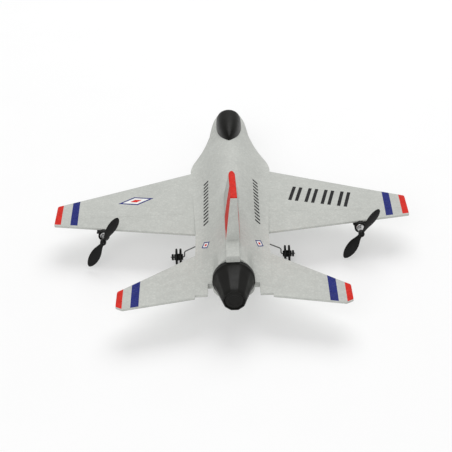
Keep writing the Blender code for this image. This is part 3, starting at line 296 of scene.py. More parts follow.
def heat_shrink():
    """Blue sleeve pulled tight round the cell: glossy with small cross wrinkles."""
    shader = Shader("heat_shrink", (0.02, 0.16, 0.42), 0.34)
    folds = shader.noise(2.2, 4, 0.6, shader.stretched((0.45, 1.6, 1)))
    tinted = shader.scaled_colour((0.02, 0.16, 0.42), shader.ranged(folds, 0.3, 0.7, 0.8, 1.2))
    gloss = shader.ranged(folds, 0.3, 0.7, 0.26, 0.44)
    return shader.finish(tinted, gloss, shader.bump(folds, 0.12, 0.6))


def silicone(name, colour):
    shader = Shader(name, colour, 0.48)
    tinted = shader.scaled_colour(colour, shader.ranged(shader.noise(1.5, 3), 0.3, 0.7, 0.85, 1.15))
    gloss = shader.ranged(shader.noise(0.8, 3), 0.3, 0.7, 0.40, 0.58)
    return shader.finish(tinted, gloss, shader.bump(shader.noise(0.3, 3), 0.015, 0.5))


def lamp_lens():
    """Diffusing red lens, its red varying in soft clouds."""
    shader = Shader("lamp_lens", (0.75, 0.05, 0.03), 0.2)
    shader.surface.inputs["Coat Weight"].default_value = 0.6
    cloud = shader.noise(0.8, 3)
    tinted = shader.mixed(shader.ranged(cloud, 0.3, 0.7, 0.0, 1.0), (0.62, 0.03, 0.02), (0.9, 0.12, 0.08))
    return shader.finish(tinted, shader.ranged(cloud, 0.3, 0.7, 0.14, 0.28), shader.bump(cloud, 0.02, 0.3))


MATERIALS = {
    "foam": bead_foam("bead_foam"),
    "red_ink": bead_foam("foam_red_ink", RED_INK),
    "blue_ink": bead_foam("foam_blue_ink", BLUE_INK),
    "black_ink": bead_foam("foam_black_ink", BLACK_INK),
    "white_ink": bead_foam("foam_white_ink", WHITE_INK),
    "canopy": skinned_foam("canopy_skin", (0.007, 0.007, 0.006)),
    "nozzle": moulded_plastic("nozzle_plastic", (0.007, 0.007, 0.006), 0.42, 0.5, 0.03, 0.10),
    "black": moulded_plastic("black_plastic", (0.006, 0.006, 0.006), 0.42, 0.4, 0.03, 0.12),
    "propeller": moulded_plastic("propeller_nylon", (0.006, 0.006, 0.006), 0.34, 0.6, 0.015, 0.06),
    "wheel": moulded_plastic("wheel_plastic", (0.006, 0.006, 0.006), 0.46, 0.4, 0.02, 0.10),
    "grey": moulded_plastic("grey_plastic", (0.20, 0.20, 0.21), 0.46, 0.4, 0.03, 0.08),
    "white": moulded_plastic("white_nylon", (0.72, 0.71, 0.67), 0.38, 0.5, 0.02),
    "steel": drawn_metal("drawn_steel", (0.20, 0.20, 0.20), 0.42, (1, 1, 1)),
    "can": drawn_metal("turned_can", (0.62, 0.62, 0.62), 0.24, (1, 5, 1)),
    "carbon": woven_rod("carbon_rod"),
    "board": circuit_board(),
    "battery": heat_shrink(),
    "red_wire": silicone("red_silicone", (0.46, 0.02, 0.02)),
    "black_wire": silicone("black_silicone", (0.015, 0.015, 0.015)),
    "lamp": lamp_lens(),
}


# ---- Mesh building ----
def quarter_turn(steps):
    return [math.pi / 2 * k / steps for k in range(steps + 1)]


def full_turn(steps):
    return [2 * math.pi * k / steps for k in range(steps)]


def in_scene(name, data):
    """A new object, linked to the scene."""
    item = bpy.data.objects.new(name, data)
    bpy.context.scene.collection.objects.link(item)
    return item


def new_piece(name, points, faces, materials, face_slots=None, body="airframe", slot=None, replaces=()):
    """A smooth-shaded mesh in the row frame, given in millimetres, riding on a body."""
    mesh = bpy.data.meshes.new(name)
    mesh.from_pydata([tuple(float(c) * MM for c in p) for p in points], [], faces)
    for key in materials:
        mesh.materials.append(MATERIALS[key])
    if face_slots is not None:
        mesh.polygons.foreach_set("material_index", face_slots)
    return place_piece(name, mesh, body, slot, replaces)


def place_piece(name, mesh, body, slot, replaces):
    tidy = bmesh.new()
    tidy.from_mesh(mesh)
    bmesh.ops.remove_doubles(tidy, verts=tidy.verts, dist=1e-6)
    bmesh.ops.recalc_face_normals(tidy, faces=tidy.faces)
    tidy.to_mesh(mesh)
    tidy.free()
    mesh.shade_smooth()
    mesh.set_sharp_from_angle(angle=SMOOTH_ANGLE)
    piece = in_scene(name, mesh)
    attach(piece, body)
    if replaces:
        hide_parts(*replaces)
    return piece


def ring_faces(ring_count, ring_size, capped=True):
    """Faces that join equal rings, in order, with a cap on each end."""
    faces = []
    for ring in range(ring_count - 1):
        low, high = ring * ring_size, (ring + 1) * ring_size
        for index in range(ring_size):
            after = (index + 1) % ring_size
            faces.append((low + index, low + after, high + after, high + index))
    if capped:
        faces.append(tuple(range(ring_size)))
        faces.append(tuple(range((ring_count - 1) * ring_size, ring_count * ring_size)))
    return faces


def loft(name, rings, materials, pick=None, **options):
    """Join rings of points; `pick(ring number, point number)` chooses each face's material."""
    size = len(rings[0])
    points = [point for ring in rings for point in ring]
    faces = ring_faces(len(rings), size)
    slots = None
    if pick:
        slots = [pick(number // size, number % size) for number in range(len(faces) - 2)] + [0, 0]
        slots[-1] = pick(len(rings) - 1, 0)
    return new_piece(name, points, faces, materials, slots, **options)


def turned_rings(profile, centre, axis, steps=96, wobble=None):
    """Spin (radius, distance along axis) points; `wobble(angle, row)` scales the radius."""
    turn = Vector((0, 0, 1)).rotation_difference(Vector(axis)).to_matrix()
    rings = []
    for row, (radius, along) in enumerate(profile):
        ring = []
        for angle in full_turn(steps):
            reach = radius * (wobble(angle, row) if wobble else 1)
            spoke = Vector((reach * math.cos(angle), reach * math.sin(angle), along))
            ring.append(Vector(centre) + turn @ spoke)
        rings.append(ring)
    return rings


def turned(name, profile, centre, axis, material, steps=96, **options):
    return loft(name, turned_rings(profile, centre, axis, steps), [material], **options)


def rounded(profile, radius, steps=4):
    """Round every corner of an open (radius, along) profile, apart from its two ends."""
    smooth = [profile[0]]
    for before, corner, after in zip(profile, profile[1:], profile[2:]):
        before, corner, after = (np.array(p, float) for p in (before, corner, after))
        into, out = before - corner, after - corner
        reach = min(radius, 0.45 * np.linalg.norm(into), 0.45 * np.linalg.norm(out))
        start, end = (corner + reach * way / max(np.linalg.norm(way), 1e-9) for way in (into, out))
        for step in range(steps + 1):
            t = step / steps
            smooth.append(tuple(start * (1 - t) ** 2 + corner * 2 * t * (1 - t) + end * t ** 2))
    smooth.append(profile[-1])
    return smooth


def bent_path(corners, bend, steps=8):
    """Points along straight runs joined by short round bends."""
    points = [Vector(corners[0])]
    for before, corner, after in zip(corners, corners[1:], corners[2:]):
        before, corner, after = Vector(before), Vector(corner), Vector(after)
        entry = corner + (before - corner).normalized() * bend
        leave = corner + (after - corner).normalized() * bend
        for step in range(steps + 1):
            t = step / steps
            points.append(entry * (1 - t) ** 2 + corner * 2 * t * (1 - t) + leave * t ** 2)
    points.append(Vector(corners[-1]))
    return points


def spaced(points, spacing):
    """The same path with points no further apart than `spacing`."""
    result = [points[0]]
    for before, after in zip(points, points[1:]):
        count = max(1, math.ceil((after - before).length / spacing))
        result += [before.lerp(after, step / count) for step in range(1, count + 1)]
    return result


def path_frames(points):
    """Two directions across the path at each point, carried along without twisting."""
    tangents = [(b - a).normalized() for a, b in zip([points[0]] + points, points + [points[-1]])
                if (b - a).length > 1e-9]
    tangents = [tangents[max(0, min(i, len(tangents) - 1))] for i in range(len(points))]
    side = tangents[0].orthogonal().normalized()
    frames = []
    for tangent in tangents:
        side = (side - tangent * side.dot(tangent)).normalized()
        frames.append((side, tangent.cross(side)))
    return frames


def tube_rings(points, radius, sides=16):
    rings = []
    for point, (side, up) in zip(points, path_frames(points)):
        rings.append([point + side * radius * math.cos(a) + up * radius * math.sin(a)
                      for a in full_turn(sides)])
    return rings


def merged(name, parts, materials, slots=None, **options):
    """Several lofts as one piece; `slots` gives each one's material number."""
    points, faces, numbers = [], [], []
    for index, rings in enumerate(parts):
        start, size = len(points), len(rings[0])
        points += [point for ring in rings for point in ring]
        added = [tuple(start + i for i in face) for face in ring_faces(len(rings), size)]
        faces += added
        numbers += [slots[index] if slots else 0] * len(added)
    return new_piece(name, points, faces, materials, numbers, **options)


def hidden_box(low, high):
    shape = bmesh.new()
    size, middle = Vector(high) - Vector(low), (Vector(high) + Vector(low)) / 2
    bmesh.ops.create_cube(shape, size=1.0, matrix=Matrix.Translation(middle * MM)
                          @ Matrix.Diagonal((*(size * MM), 1.0)))
    return hidden_cutter(shape)


def hidden_rod(start, end, radius, steps=96):
    shape = bmesh.new()
    middle, way = (Vector(start) + Vector(end)) / 2 * MM, Vector(end) - Vector(start)
    turn = Vector((0, 0, 1)).rotation_difference(way).to_matrix().to_4x4()
    bmesh.ops.create_cone(shape, cap_ends=True, segments=steps, radius1=radius * MM, radius2=radius * MM,
                          depth=way.length * MM, matrix=Matrix.Translation(middle) @ turn)
    return hidden_cutter(shape)


def hidden_cutter(shape):
    mesh = bpy.data.meshes.new("cutter")
    shape.to_mesh(mesh)
    shape.free()
    return in_scene("cutter", mesh)


def carve(piece, cutters):
    """Cut every cutter out of the piece, then throw the cutters away."""
    for cutter in cutters:
        step = piece.modifiers.new("carve", "BOOLEAN")
        step.operation, step.solver, step.object = "DIFFERENCE", "EXACT", cutter
    apply_modifiers(piece)
    for cutter in cutters:
        bpy.data.objects.remove(cutter, do_unlink=True)
    piece.data.shade_smooth()
    piece.data.set_sharp_from_angle(angle=SMOOTH_ANGLE)


def apply_modifiers(piece):
    graph = bpy.context.evaluated_depsgraph_get()
    mesh = bpy.data.meshes.new_from_object(piece.evaluated_get(graph))
    piece.modifiers.clear()
    piece.data = mesh


def softened(node, material, width, slot=None):
    """A copy of a CAD node with its machined edges rounded, shown in the node's place."""
    source = frame["nodes"][node]
    mesh = source.data.copy()
    shape = bmesh.new()
    shape.from_mesh(mesh)
    bmesh.ops.remove_doubles(shape, verts=shape.verts, dist=2e-6)
    bmesh.ops.dissolve_limit(shape, angle_limit=math.radians(0.5), verts=shape.verts, edges=shape.edges)
    sharp = [edge for edge in shape.edges
             if edge.is_manifold and edge.calc_face_angle(0) > BEVEL_ANGLE]
    bmesh.ops.bevel(shape, geom=sharp, offset=width * MM, segments=3, profile=0.5, affect="EDGES",
                    clamp_overlap=True)
    shape.to_mesh(mesh)
    shape.free()
    mesh.materials.clear()
    mesh.materials.append(MATERIALS[material])
    return place_piece(f"{node}_detailed", mesh, source["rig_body"], slot, [node])


def smooth_through(column):
    """A monotone cubic curve through one column of the body stations."""
    xs = np.array([row[0] for row in BODY_STATIONS], float)
    ys = np.array([row[column] for row in BODY_STATIONS], float)
    steps, slopes = np.diff(xs), np.diff(ys) / np.diff(xs)
    tangents = np.zeros(len(xs))
    for i in range(1, len(xs) - 1):
        if slopes[i - 1] * slopes[i] > 0:
            near, far = 2 * steps[i] + steps[i - 1], steps[i] + 2 * steps[i - 1]
            tangents[i] = (near + far) / (near / slopes[i - 1] + far / slopes[i])
    tangents[0], tangents[-1] = slopes[0], slopes[-1]

    def value(x):
        i = int(np.clip(np.searchsorted(xs, x) - 1, 0, len(steps) - 1))
        t = (x - xs[i]) / steps[i]
        bend = steps[i] * (tangents[i] * t * (1 - t) ** 2 - tangents[i + 1] * t * t * (1 - t))
        return float(ys[i] + (ys[i + 1] - ys[i]) * t * t * (3 - 2 * t) + bend)

    return value


def share_between(value, limits):
    """0 before the first limit, 1 after the second, and a straight line in between."""
    return min(1.0, max(0.0, (value - limits[0]) / (limits[1] - limits[0])))


def eased(value, limits):
    """The same, but level at both ends."""
    t = share_between(value, limits)
    return t * t * (3 - 2 * t)


# ---- Foam body ----
forebody_half_width = smooth_through(1)
body_top = smooth_through(2)
body_bottom = smooth_through(3)


def body_half_width(y):
    """Curved ahead of the wing, then straight along the wing root and the tailplane root."""
    if y <= WING_ROOT_FRONT[1]:
        return forebody_half_width(y)
    return float(np.interp(y, (WING_ROOT_FRONT[1], WING_ROOT_REAR[1]),
                           (WING_ROOT_FRONT[0] - CLEARANCE, WING_ROOT_REAR[0] - CLEARANCE)))


def wing_likeness(y):
    return eased(y, (NOSE_SHAPE_END_Y, WING_SHAPE_START_Y))


def belly_half_width(y):
    wide = body_half_width(y)
    return wide + (BELLY_REAR_HALF_WIDTH - wide) * eased(y, BELLY_NARROWING_YS)


def flank_height(x, y):
    """1 on the spine, falling to 0 where its flank has sunk to the tail's level."""
    return 1 - eased(y, FLANK_SINKING_YS) * eased(abs(x), FLANK_SINKING_XS)


def upper_height(across, y):
    """Height of the body's top skin; `across` runs from -1 to 1 over its width."""
    flat, top = wing_likeness(y), body_top(y)
    edge = NOSE_EDGE_Z + (WING_TOP_Z - NOSE_EDGE_Z) * flat - SHELF_DROP * share_between(y, SHELF_SLOPING_YS)
    spine = 0.5 + 0.5 * math.cos(math.pi * across)
    dome = math.sqrt(max(0.0, 1 - across * across))
    rise = (flat * spine + (1 - flat) * dome) * flank_height(body_half_width(y) * across, y)
    return edge + (top - edge) * rise


def upper_ring(y, count=120):
    width = body_half_width(y)
    under = PARTING_Z + TAB_RISE * share_between(y, TAB_THINNING_YS)
    ring = [(-width + 0.3, y, under), (-width, y, under + 0.4)]
    for step in range(count + 1):
        across = -math.cos(math.pi * step / count)
        ring.append((width * across, y, upper_height(across, y)))
    return ring + [(width, y, under + 0.4), (width - 0.3, y, under)]


def lower_ring(y, count=72):
    width, bottom = belly_half_width(y), body_bottom(y)
    power = 2 + 1.6 * wing_likeness(y) * (1 - eased(y, BELLY_NARROWING_YS))
    top = PARTING_Z - PARTING_GAP
    ring = [(-width + 0.3, y, top)]
    for step in range(count + 1):
        across = -math.cos(math.pi * step / count)
        fall = max(0.0, 1 - abs(across) ** power) ** (1 / power)
        ring.append((width * across, y, top - 0.4 - (top - 0.4 - bottom) * fall))
    return ring + [(width - 0.3, y, top)]


def rear_cutters():
    """What the nozzle and the notch take out of both halves of the body."""
    front_y = NOZZLE_FRONT_Y - CLEARANCE
    return [
        hidden_rod((0, front_y, NOZZLE_Z), (0, BEHIND_Y, NOZZLE_Z), NOZZLE_COLLAR_RADIUS + CLEARANCE),
        hidden_box((-NOTCH_HALF_WIDTH, NOTCH_FRONT_Y, UNDER_Z), (NOTCH_HALF_WIDTH, BEHIND_Y, OVER_Z)),
    ]


def pocket(xs, ys, top_z, gap=CLEARANCE):
    """A box-shaped pocket cut up into the belly, `gap` wider all round than what sits in it."""
    return hidden_box((xs[0] - gap, ys[0] - gap, UNDER_Z), (xs[1] + gap, ys[1] + gap, top_z))


def belly_cutters():
    """The bay, seats and slots in the underside."""
    gear_ys = (WHEEL_Y - GEAR_BLOCK_HALF_LENGTH, WHEEL_Y + GEAR_BLOCK_HALF_LENGTH)
    leg_ys = (WHEEL_Y - LEG_SLOT_HALF, WHEEL_Y + LEG_SLOT_HALF)
    nose_ys = (NOSE_WHEEL_Y - NOSE_BLOCK_HALF_LENGTH, NOSE_WHEEL_Y + NOSE_BLOCK_HALF_LENGTH)
    return [
        pocket((-BAY_HALF_WIDTH, BAY_HALF_WIDTH), BAY_YS, BAY_TOP_Z),
        pocket((-GEAR_BLOCK_HALF_WIDTH, GEAR_BLOCK_HALF_WIDTH), gear_ys, GEAR_SEAT_TOP_Z),
        pocket((-WIDE_X, WIDE_X), leg_ys, LEG_SLOT_TOP_Z, gap=0),
        pocket(NOSE_BLOCK_XS, nose_ys, NOSE_SEAT_TOP_Z),
        pocket(SWITCH_SEAT_XS, SWITCH_SEAT_YS, SWITCH_SEAT_TOP_Z, gap=0),
        hidden_rod((LAMP_X, LAMP_Y, UNDER_Z), (LAMP_X, LAMP_Y, SWITCH_SEAT_TOP_Z), LAMP_SEAT_RADIUS, 48),
    ]


def build_body():
    ys = np.linspace(BODY_FRONT_Y, BODY_REAR_Y, 121)
    upper = loft("foam_upper", [upper_ring(y) for y in ys], ["foam"], slot="foam",
                 replaces=["fuselage_upper"])
    reach, front_y = NOZZLE_COLLAR_RADIUS + CLEARANCE, NOZZLE_FRONT_Y - CLEARANCE
    above_nozzle = hidden_box((-reach, front_y, 38), (reach, BEHIND_Y, OVER_Z))
    carve(upper, [above_nozzle, *rear_cutters()])
    belly = loft("foam_belly", [lower_ring(y) for y in ys], ["foam"], slot="foam",
                 replaces=["fuselage_belly"])
    carve(belly, rear_cutters() + belly_cutters())


def build_nose_cone():
    """A rounded cap that carries the body's section on to the tip."""
    half_width, top, bottom = BODY_STATIONS[0][1:]
    middle, half_height = (top + bottom) / 2, (top - bottom) / 2
    base_y, rings = BODY_FRONT_Y - 0.15, []
    for step in range(33):
        along = math.sin(math.pi / 2 * step / 32)
        size = max(0.012, (1 - along ** 2) ** 0.56)
        centre_z = middle + (NOSE_TIP_Z - middle) * along
        y = base_y + (NOSE_Y - base_y) * along
        rings.append([(half_width * size * math.cos(a), y, centre_z + half_height * size * math.sin(a))
                      for a in full_turn(72)])
    lip = [[(x * 0.985, base_y + 0.25, middle + (z - middle) * 0.985) for x, _, z in rings[0]]]
    loft("nose_cap", lip + rings, ["canopy"], slot="black_plastic", replaces=["nose_cone"])


# ---- Flying surfaces ----
CREASE_AT, CREASE_HALF, CREASE_DEPTH = 0.70, 0.45, 0.22


def half_profile(chord, thickness, creased):
    """(distance from the front, half thickness above, the same below) along a foam surface."""
    nose = min(0.12 * chord, 7.0)
    rows = [(nose * (1 - math.cos(a)), thickness / 2 * math.sin(a))
            for a in quarter_turn(14)]
    shape = [(0.38 * chord, thickness / 2), (0.72 * chord, (thickness + EDGE_THICKNESS) / 4 + 0.2),
             (chord - 0.5, EDGE_THICKNESS / 2)]
    known_x, known_h = zip(rows[-1], *shape)
    at = CREASE_AT * chord
    stops = sorted(set(np.round(np.linspace(nose, chord - 0.5, 22)[1:], 3))
                   | {at - 2 * CREASE_HALF, at - CREASE_HALF, at, at + CREASE_HALF, at + 2 * CREASE_HALF})
    rows += [(d, float(np.interp(d, known_x, known_h))) for d in stops]
    rows += [(chord - 0.12, EDGE_THICKNESS / 2 - 0.12), (chord, EDGE_THICKNESS / 2 - 0.5)]
    result = []
    for distance, half in rows:
        dip = CREASE_DEPTH * max(0.0, 1 - abs(distance - at) / CREASE_HALF) if creased else 0.0
        result.append((distance, half - dip, half))
    return result


def surface_ring(front, rear, mid_z, thickness, creased=False):
    """One rib, from the leading edge over the top and back underneath."""
    front, rear = Vector((*front, mid_z)), Vector((*rear, mid_z))
    chord = (rear - front).length
    profile = half_profile(chord, thickness, creased)
    above = [front.lerp(rear, d / chord) + Vector((0, 0, up)) for d, up, _ in profile]
    below = [front.lerp(rear, d / chord) - Vector((0, 0, down)) for d, _, down in profile[1:]]
    return above + below[::-1]


def tip_rings(ring_at, outer, depth=1.1, steps=6):
    """Rings that round off a tip: inset and thinned along a quarter circle."""
    rings = []
    for step in range(1, steps + 1):
        angle = math.pi / 2 * step / steps
        out, keep = math.sin(angle), math.cos(angle)
        rings.append(ring_at(outer - depth + depth * out, depth * (1 - keep), 0.35 + 0.65 * keep))
    return rings


def wing_ring(sign, x, inset=0.0, thin=1.0):
    """The rib of a wing whose tip end is at |x|; ribs slant a little towards the root."""
    t = (x - WING_ROOT_FRONT[0]) / (HALF_SPAN - WING_ROOT_FRONT[0])
    front = [a + (b - a) * t for a, b in zip(WING_ROOT_FRONT, WING_TIP_FRONT)]
    rear = [a + (b - a) * t for a, b in zip(WING_ROOT_REAR, WING_TIP_REAR)]
    thickness = (WING_ROOT_THICKNESS + (WING_TIP_THICKNESS - WING_ROOT_THICKNESS) * t) * thin
    return surface_ring((sign * front[0], front[1] + inset), (sign * rear[0], rear[1] - inset),
                        WING_MID_Z, thickness, creased=inset == 0 and t > 0.02)


def wing_top(x, y):
    """Height of a wing's top skin at (|x|, y)."""
    t = (x - WING_ROOT_FRONT[0]) / (HALF_SPAN - WING_ROOT_FRONT[0])
    front = WING_ROOT_FRONT[1] + (WING_TIP_FRONT[1] - WING_ROOT_FRONT[1]) * t
    rear = WING_ROOT_REAR[1] + (WING_TIP_REAR[1] - WING_ROOT_REAR[1]) * t
    thickness = WING_ROOT_THICKNESS + (WING_TIP_THICKNESS - WING_ROOT_THICKNESS) * t
    xs, highs, _ = zip(*half_profile(rear - front, thickness, False))
    return WING_MID_Z + float(np.interp(y - front, xs, highs))


# Printed bands: inner and outer edge in |x|, and the number of their ink in INKS.
WING_BANDS = ((126.7, 132.4, 2), (139.9, 145.0, 1))
TAIL_BANDS = ((70.5, 76.5, 2), (82.8, 87.6, 1))
INKS = ["foam", "red_ink", "blue_ink"]
WING_PLAIN_ROWS, TAIL_PLAIN_ROWS = 4, 3     # rows of faces at the rear edge that stay plain


def band_picker(xs, bands, top_count, rear_rows):
    """Material chooser: a band's faces on the top skin and the nose are ink, short of the rear edge."""
    def pick(ring, point):
        if ring >= len(xs) - 1:
            ring = len(xs) - 2
        middle = (xs[ring] + xs[ring + 1]) / 2
        for low, high, number in bands:
            if low <= middle <= high and point < top_count - rear_rows:
                return number
        return 0
    return pick


def band_stops(start, end, bands, spacing):
    stops = set(np.linspace(start, end, max(3, int((end - start) / spacing))))
    for low, high, _ in bands:
        stops |= {low, min(high, end)}
    return sorted(stops)


def build_wing(side, sign):
    xs = band_stops(WING_ROOT_FRONT[0] - ROOT_OVERLAP, HALF_SPAN - 1.1, WING_BANDS, 2.5)
    rings = [wing_ring(sign, x) for x in xs]
    extra = tip_rings(lambda x, inset, thin: wing_ring(sign, x, inset, thin), HALF_SPAN)
    stops = xs + [HALF_SPAN - 0.5] * len(extra)
    pick = band_picker(stops, WING_BANDS, (len(rings[0]) + 1) // 2, WING_PLAIN_ROWS)
    wing = loft(f"foam_wing_{side}", rings + extra, INKS, pick, slot="foam", replaces=[f"wing_{side}"])
    ends = sorted((sign * 20, sign * (MOTOR_X + 1)))
    carve(wing, [hidden_box((ends[0], WIRE_SLOT_Y - WIRE_SLOT_HALF, 15),
                            (ends[1], WIRE_SLOT_Y + WIRE_SLOT_HALF, WIRE_SLOT_TOP_Z))])


def tail_ring(sign, x, inset=0.0, thin=1.0):
    t = (x - TAIL_ROOT_X) / (TAIL_TIP_X - TAIL_ROOT_X)
    front = TAIL_ROOT_YS[0] + (TAIL_TIP_YS[0] - TAIL_ROOT_YS[0]) * t
    rear = float(np.interp(x, (TAIL_ROOT_X, TAIL_CORNER_X, TAIL_TIP_X),
                           (TAIL_ROOT_YS[1], TAIL_Y, TAIL_TIP_YS[1])))
    thickness = TAIL_THICKNESS * (1 - 0.18 * t) * thin
    return surface_ring((sign * x, front + inset), (sign * x, rear - inset), WING_MID_Z, thickness)


def build_tailplane(side, sign):
    xs = band_stops(TAIL_ROOT_X - ROOT_OVERLAP, TAIL_TIP_X - 1.1, TAIL_BANDS, 2.2)
    xs = sorted(set(xs) | {TAIL_CORNER_X})
    rings = [tail_ring(sign, x) for x in xs]
    extra = tip_rings(lambda x, inset, thin: tail_ring(sign, x, inset, thin), TAIL_TIP_X)
    stops = xs + [TAIL_TIP_X - 0.5] * len(extra)
    pick = band_picker(stops, TAIL_BANDS, (len(rings[0]) + 1) // 2, TAIL_PLAIN_ROWS)
    loft(f"foam_tailplane_{side}", rings + extra, INKS, pick, slot="foam", replaces=[f"tailplane_{side}"])


# ---- Fin ----
FIN_NOSE_POINTS, FIN_SIDE_POINTS, FIN_TIP_ROUNDING = 12, 26, 0.9
FIN_FLASH = (0.46, 0.985)       # red flash on the fin's sides, as shares of the chord


def fin_lean(y, up):
    """How far the fin stands to the right of upright; it leans more at its rear."""
    return up * (FIN_LEAN_FRONT + (FIN_LEAN_REAR - FIN_LEAN_FRONT) * share_between(y, FIN_TIP_YS))


def fin_ring(up, inset=0.0, z=None):
    """One level section: round leading edge, near-parallel sides, blunt rear face."""
    front = FIN_ROOT_YS[0] + (FIN_TIP_YS[0] - FIN_ROOT_YS[0]) * up + inset
    rear = FIN_ROOT_YS[1] + (FIN_TIP_YS[1] - FIN_ROOT_YS[1]) * up - 0.6 * inset
    half = (FIN_ROOT_THICKNESS + (FIN_TIP_THICKNESS - FIN_ROOT_THICKNESS) * up) / 2 - inset
    level = FIN_ROOT_Z + (FIN_TIP_Z - FIN_ROOT_Z) * up if z is None else z
    chord = rear - front
    nose = 0.16 * chord
    side = [(front + nose * (1 - math.cos(a)), half * math.sin(a))
            for a in quarter_turn(FIN_NOSE_POINTS)]
    for step in range(1, FIN_SIDE_POINTS + 1):
        y = front + nose + (rear - 0.4 - front - nose) * step / FIN_SIDE_POINTS
        side.append((y, half))
    side.append((rear, half - 0.35))
    outline = side + [(y, -x) for y, x in side[:0:-1]]
    return [(x - fin_lean(y, up), y, level) for y, x in outline]


def fin_pick(ups):
    """Red on the tip and on a flash at the rear of each side; the rear face stays plain."""
    size = 2 * (FIN_NOSE_POINTS + FIN_SIDE_POINTS + 2) - 1

    def pick(ring, point):
        if ring >= len(ups) - 1:
            return 1
        up = (ups[ring] + ups[ring + 1]) / 2
        from_front = min(point, size - 1 - point)
        share = (from_front - FIN_NOSE_POINTS) / FIN_SIDE_POINTS
        return int(FIN_FLASH[0] < share < FIN_FLASH[1] and up > 0.14)
    return pick


FAIRING_EDGE_RADIUS, FAIRING_END_RADIUS = 1.2, 0.7


def fairing_rings():
    """Square-ended fairing behind the fin, rounded along its top edges."""
    low, high = FAIRING_ZS
    half, edge, end = FAIRING_HALF_WIDTH, FAIRING_EDGE_RADIUS, FAIRING_END_RADIUS
    stations = [(FAIRING_YS[0], 0)]
    stations += [(FAIRING_YS[1] - end + end * math.sin(a), end * (1 - math.cos(a))) for a in quarter_turn(5)]
    rings = []
    for y, shrink in stations:
        ring = [(-half + shrink, y, low), (half - shrink, y, low)]
        for centre, start in ((half - edge, 0.0), (-half + edge, math.pi / 2)):
            for turn in quarter_turn(6):
                ring.append((centre + (edge - shrink) * math.cos(start + turn), y,
                             high - edge + (edge - shrink) * math.sin(start + turn)))
        rings.append(ring)
    return rings


def build_fin():
    ups = [float(up) for up in np.linspace(0, 0.975, 30)]
    rings = [fin_ring(up) for up in ups]
    for angle in quarter_turn(5)[1:]:
        level = FIN_TIP_Z - FIN_TIP_ROUNDING + FIN_TIP_ROUNDING * math.sin(angle)
        rings.append(fin_ring(0.978, FIN_TIP_ROUNDING * (1 - math.cos(angle)), level))
    loft("foam_fin", rings, ["foam", "red_ink"], fin_pick(ups), slot="foam", replaces=["fin"])
    loft("foam_fairing", fairing_rings(), ["foam"], slot="foam")


# ---- Canopy and nozzle ----
# How the bubble's outline closes at the rear and over its sides; a little rounder than the CAD shell.
CANOPY_TAPER, CANOPY_FULLNESS, CANOPY_SIDES = 1.85, 0.57, 0.56


def build_canopy(count=56, across=48):
    """Egg-shaped bubble sunk a little into the spine."""
    rings = []
    for step in range(count + 1):
        t = -math.cos(math.pi * step / count)
        if t < 0:
            y = CANOPY_WIDEST_Y + (CANOPY_WIDEST_Y - CANOPY_FRONT_Y) * t
            size = math.sqrt(max(0.0, 1 - t * t))
            top = CANOPY_BASE_Z + (CANOPY_TOP_Z - CANOPY_BASE_Z) * size
        else:
            y = CANOPY_WIDEST_Y + (CANOPY_REAR_Y - CANOPY_WIDEST_Y) * t
            size = max(0.0, 1 - t ** CANOPY_TAPER) ** CANOPY_FULLNESS
            top = CANOPY_TAIL_Z + (CANOPY_TOP_Z - CANOPY_TAIL_Z) * size
        half, top = max(0.1, CANOPY_HALF_WIDTH * size), max(top, CANOPY_BASE_Z + 0.5)
        angles = [math.pi * k / across for k in range(across + 1)]
        rises = [max(0.0, math.sin(a)) ** CANOPY_SIDES for a in angles]
        rings.append([(half * math.cos(a), y, CANOPY_BASE_Z + (top - CANOPY_BASE_Z) * rise)
                      for a, rise in zip(angles, rises)])
    loft("canopy_shell", rings, ["canopy"], slot="black_plastic", replaces=["canopy"])


PETAL_COUNT, PETAL_GROOVE, PETAL_STEPS, PETAL_FULLNESS = 10, 0.012, 16, 0.02


def petals(angle, row):
    """Flat petals with a fine groove between them; they grow out of the round collar."""
    if row < 4:
        return 1.0
    phase = (angle * PETAL_COUNT / (2 * math.pi)) % 1 - 0.5
    half_petal = math.pi / PETAL_COUNT
    flat = math.cos(half_petal) / math.cos(2 * half_petal * phase) + PETAL_FULLNESS
    groove = PETAL_GROOVE * max(0.0, (abs(phase) - 0.44) / 0.06)
    return 1 + (flat - 1 - groove) * min(1.0, (row - 3) / 3)


def build_nozzle():
    collar, end, wall = NOZZLE_COLLAR_RADIUS, NOZZLE_END_RADIUS, NOZZLE_WALL
    front, shoulder, rear = NOZZLE_FRONT_Y, NOZZLE_SHOULDER_Y, NOZZLE_REAR_Y
    outer = [(collar - 0.4, front), (collar, front + 0.4), (collar, shoulder - 0.4), (collar - 0.35, shoulder)]
    for step in range(1, 9):
        t = step / 8
        outer.append((collar - 0.35 + (end - collar + 0.35) * t, shoulder + (rear - 0.4 - shoulder) * t))
    inner = [(end - 0.5, rear), (end - wall, rear - 0.3), (end - wall, rear - 2.5),
             (collar - 1.3 * wall, shoulder), (collar - 1.3 * wall, front)]
    rings = turned_rings(outer + inner, (0, 0, NOZZLE_Z), (0, 1, 0), PETAL_COUNT * PETAL_STEPS, petals)
    points = [point for ring in rings + rings[:1] for point in ring]
    faces = ring_faces(len(rings) + 1, len(rings[0]), capped=False)
    new_piece("nozzle_cone", points, faces, ["nozzle"], slot="black_plastic", replaces=["nozzle_shell"])
    rim = 0.94 * (end - wall)
    plate = [(0.05, -1.8), (rim, -1.8), (rim, -0.75), (4.6, -0.62), (4.3, -0.95), (0.05, -0.95)]
    turned("nozzle_plate", rounded(plate, 0.25), (0, rear, NOZZLE_Z), (0, 1, 0), "nozzle",
           slot="black_plastic", replaces=["nozzle_end_plate"])


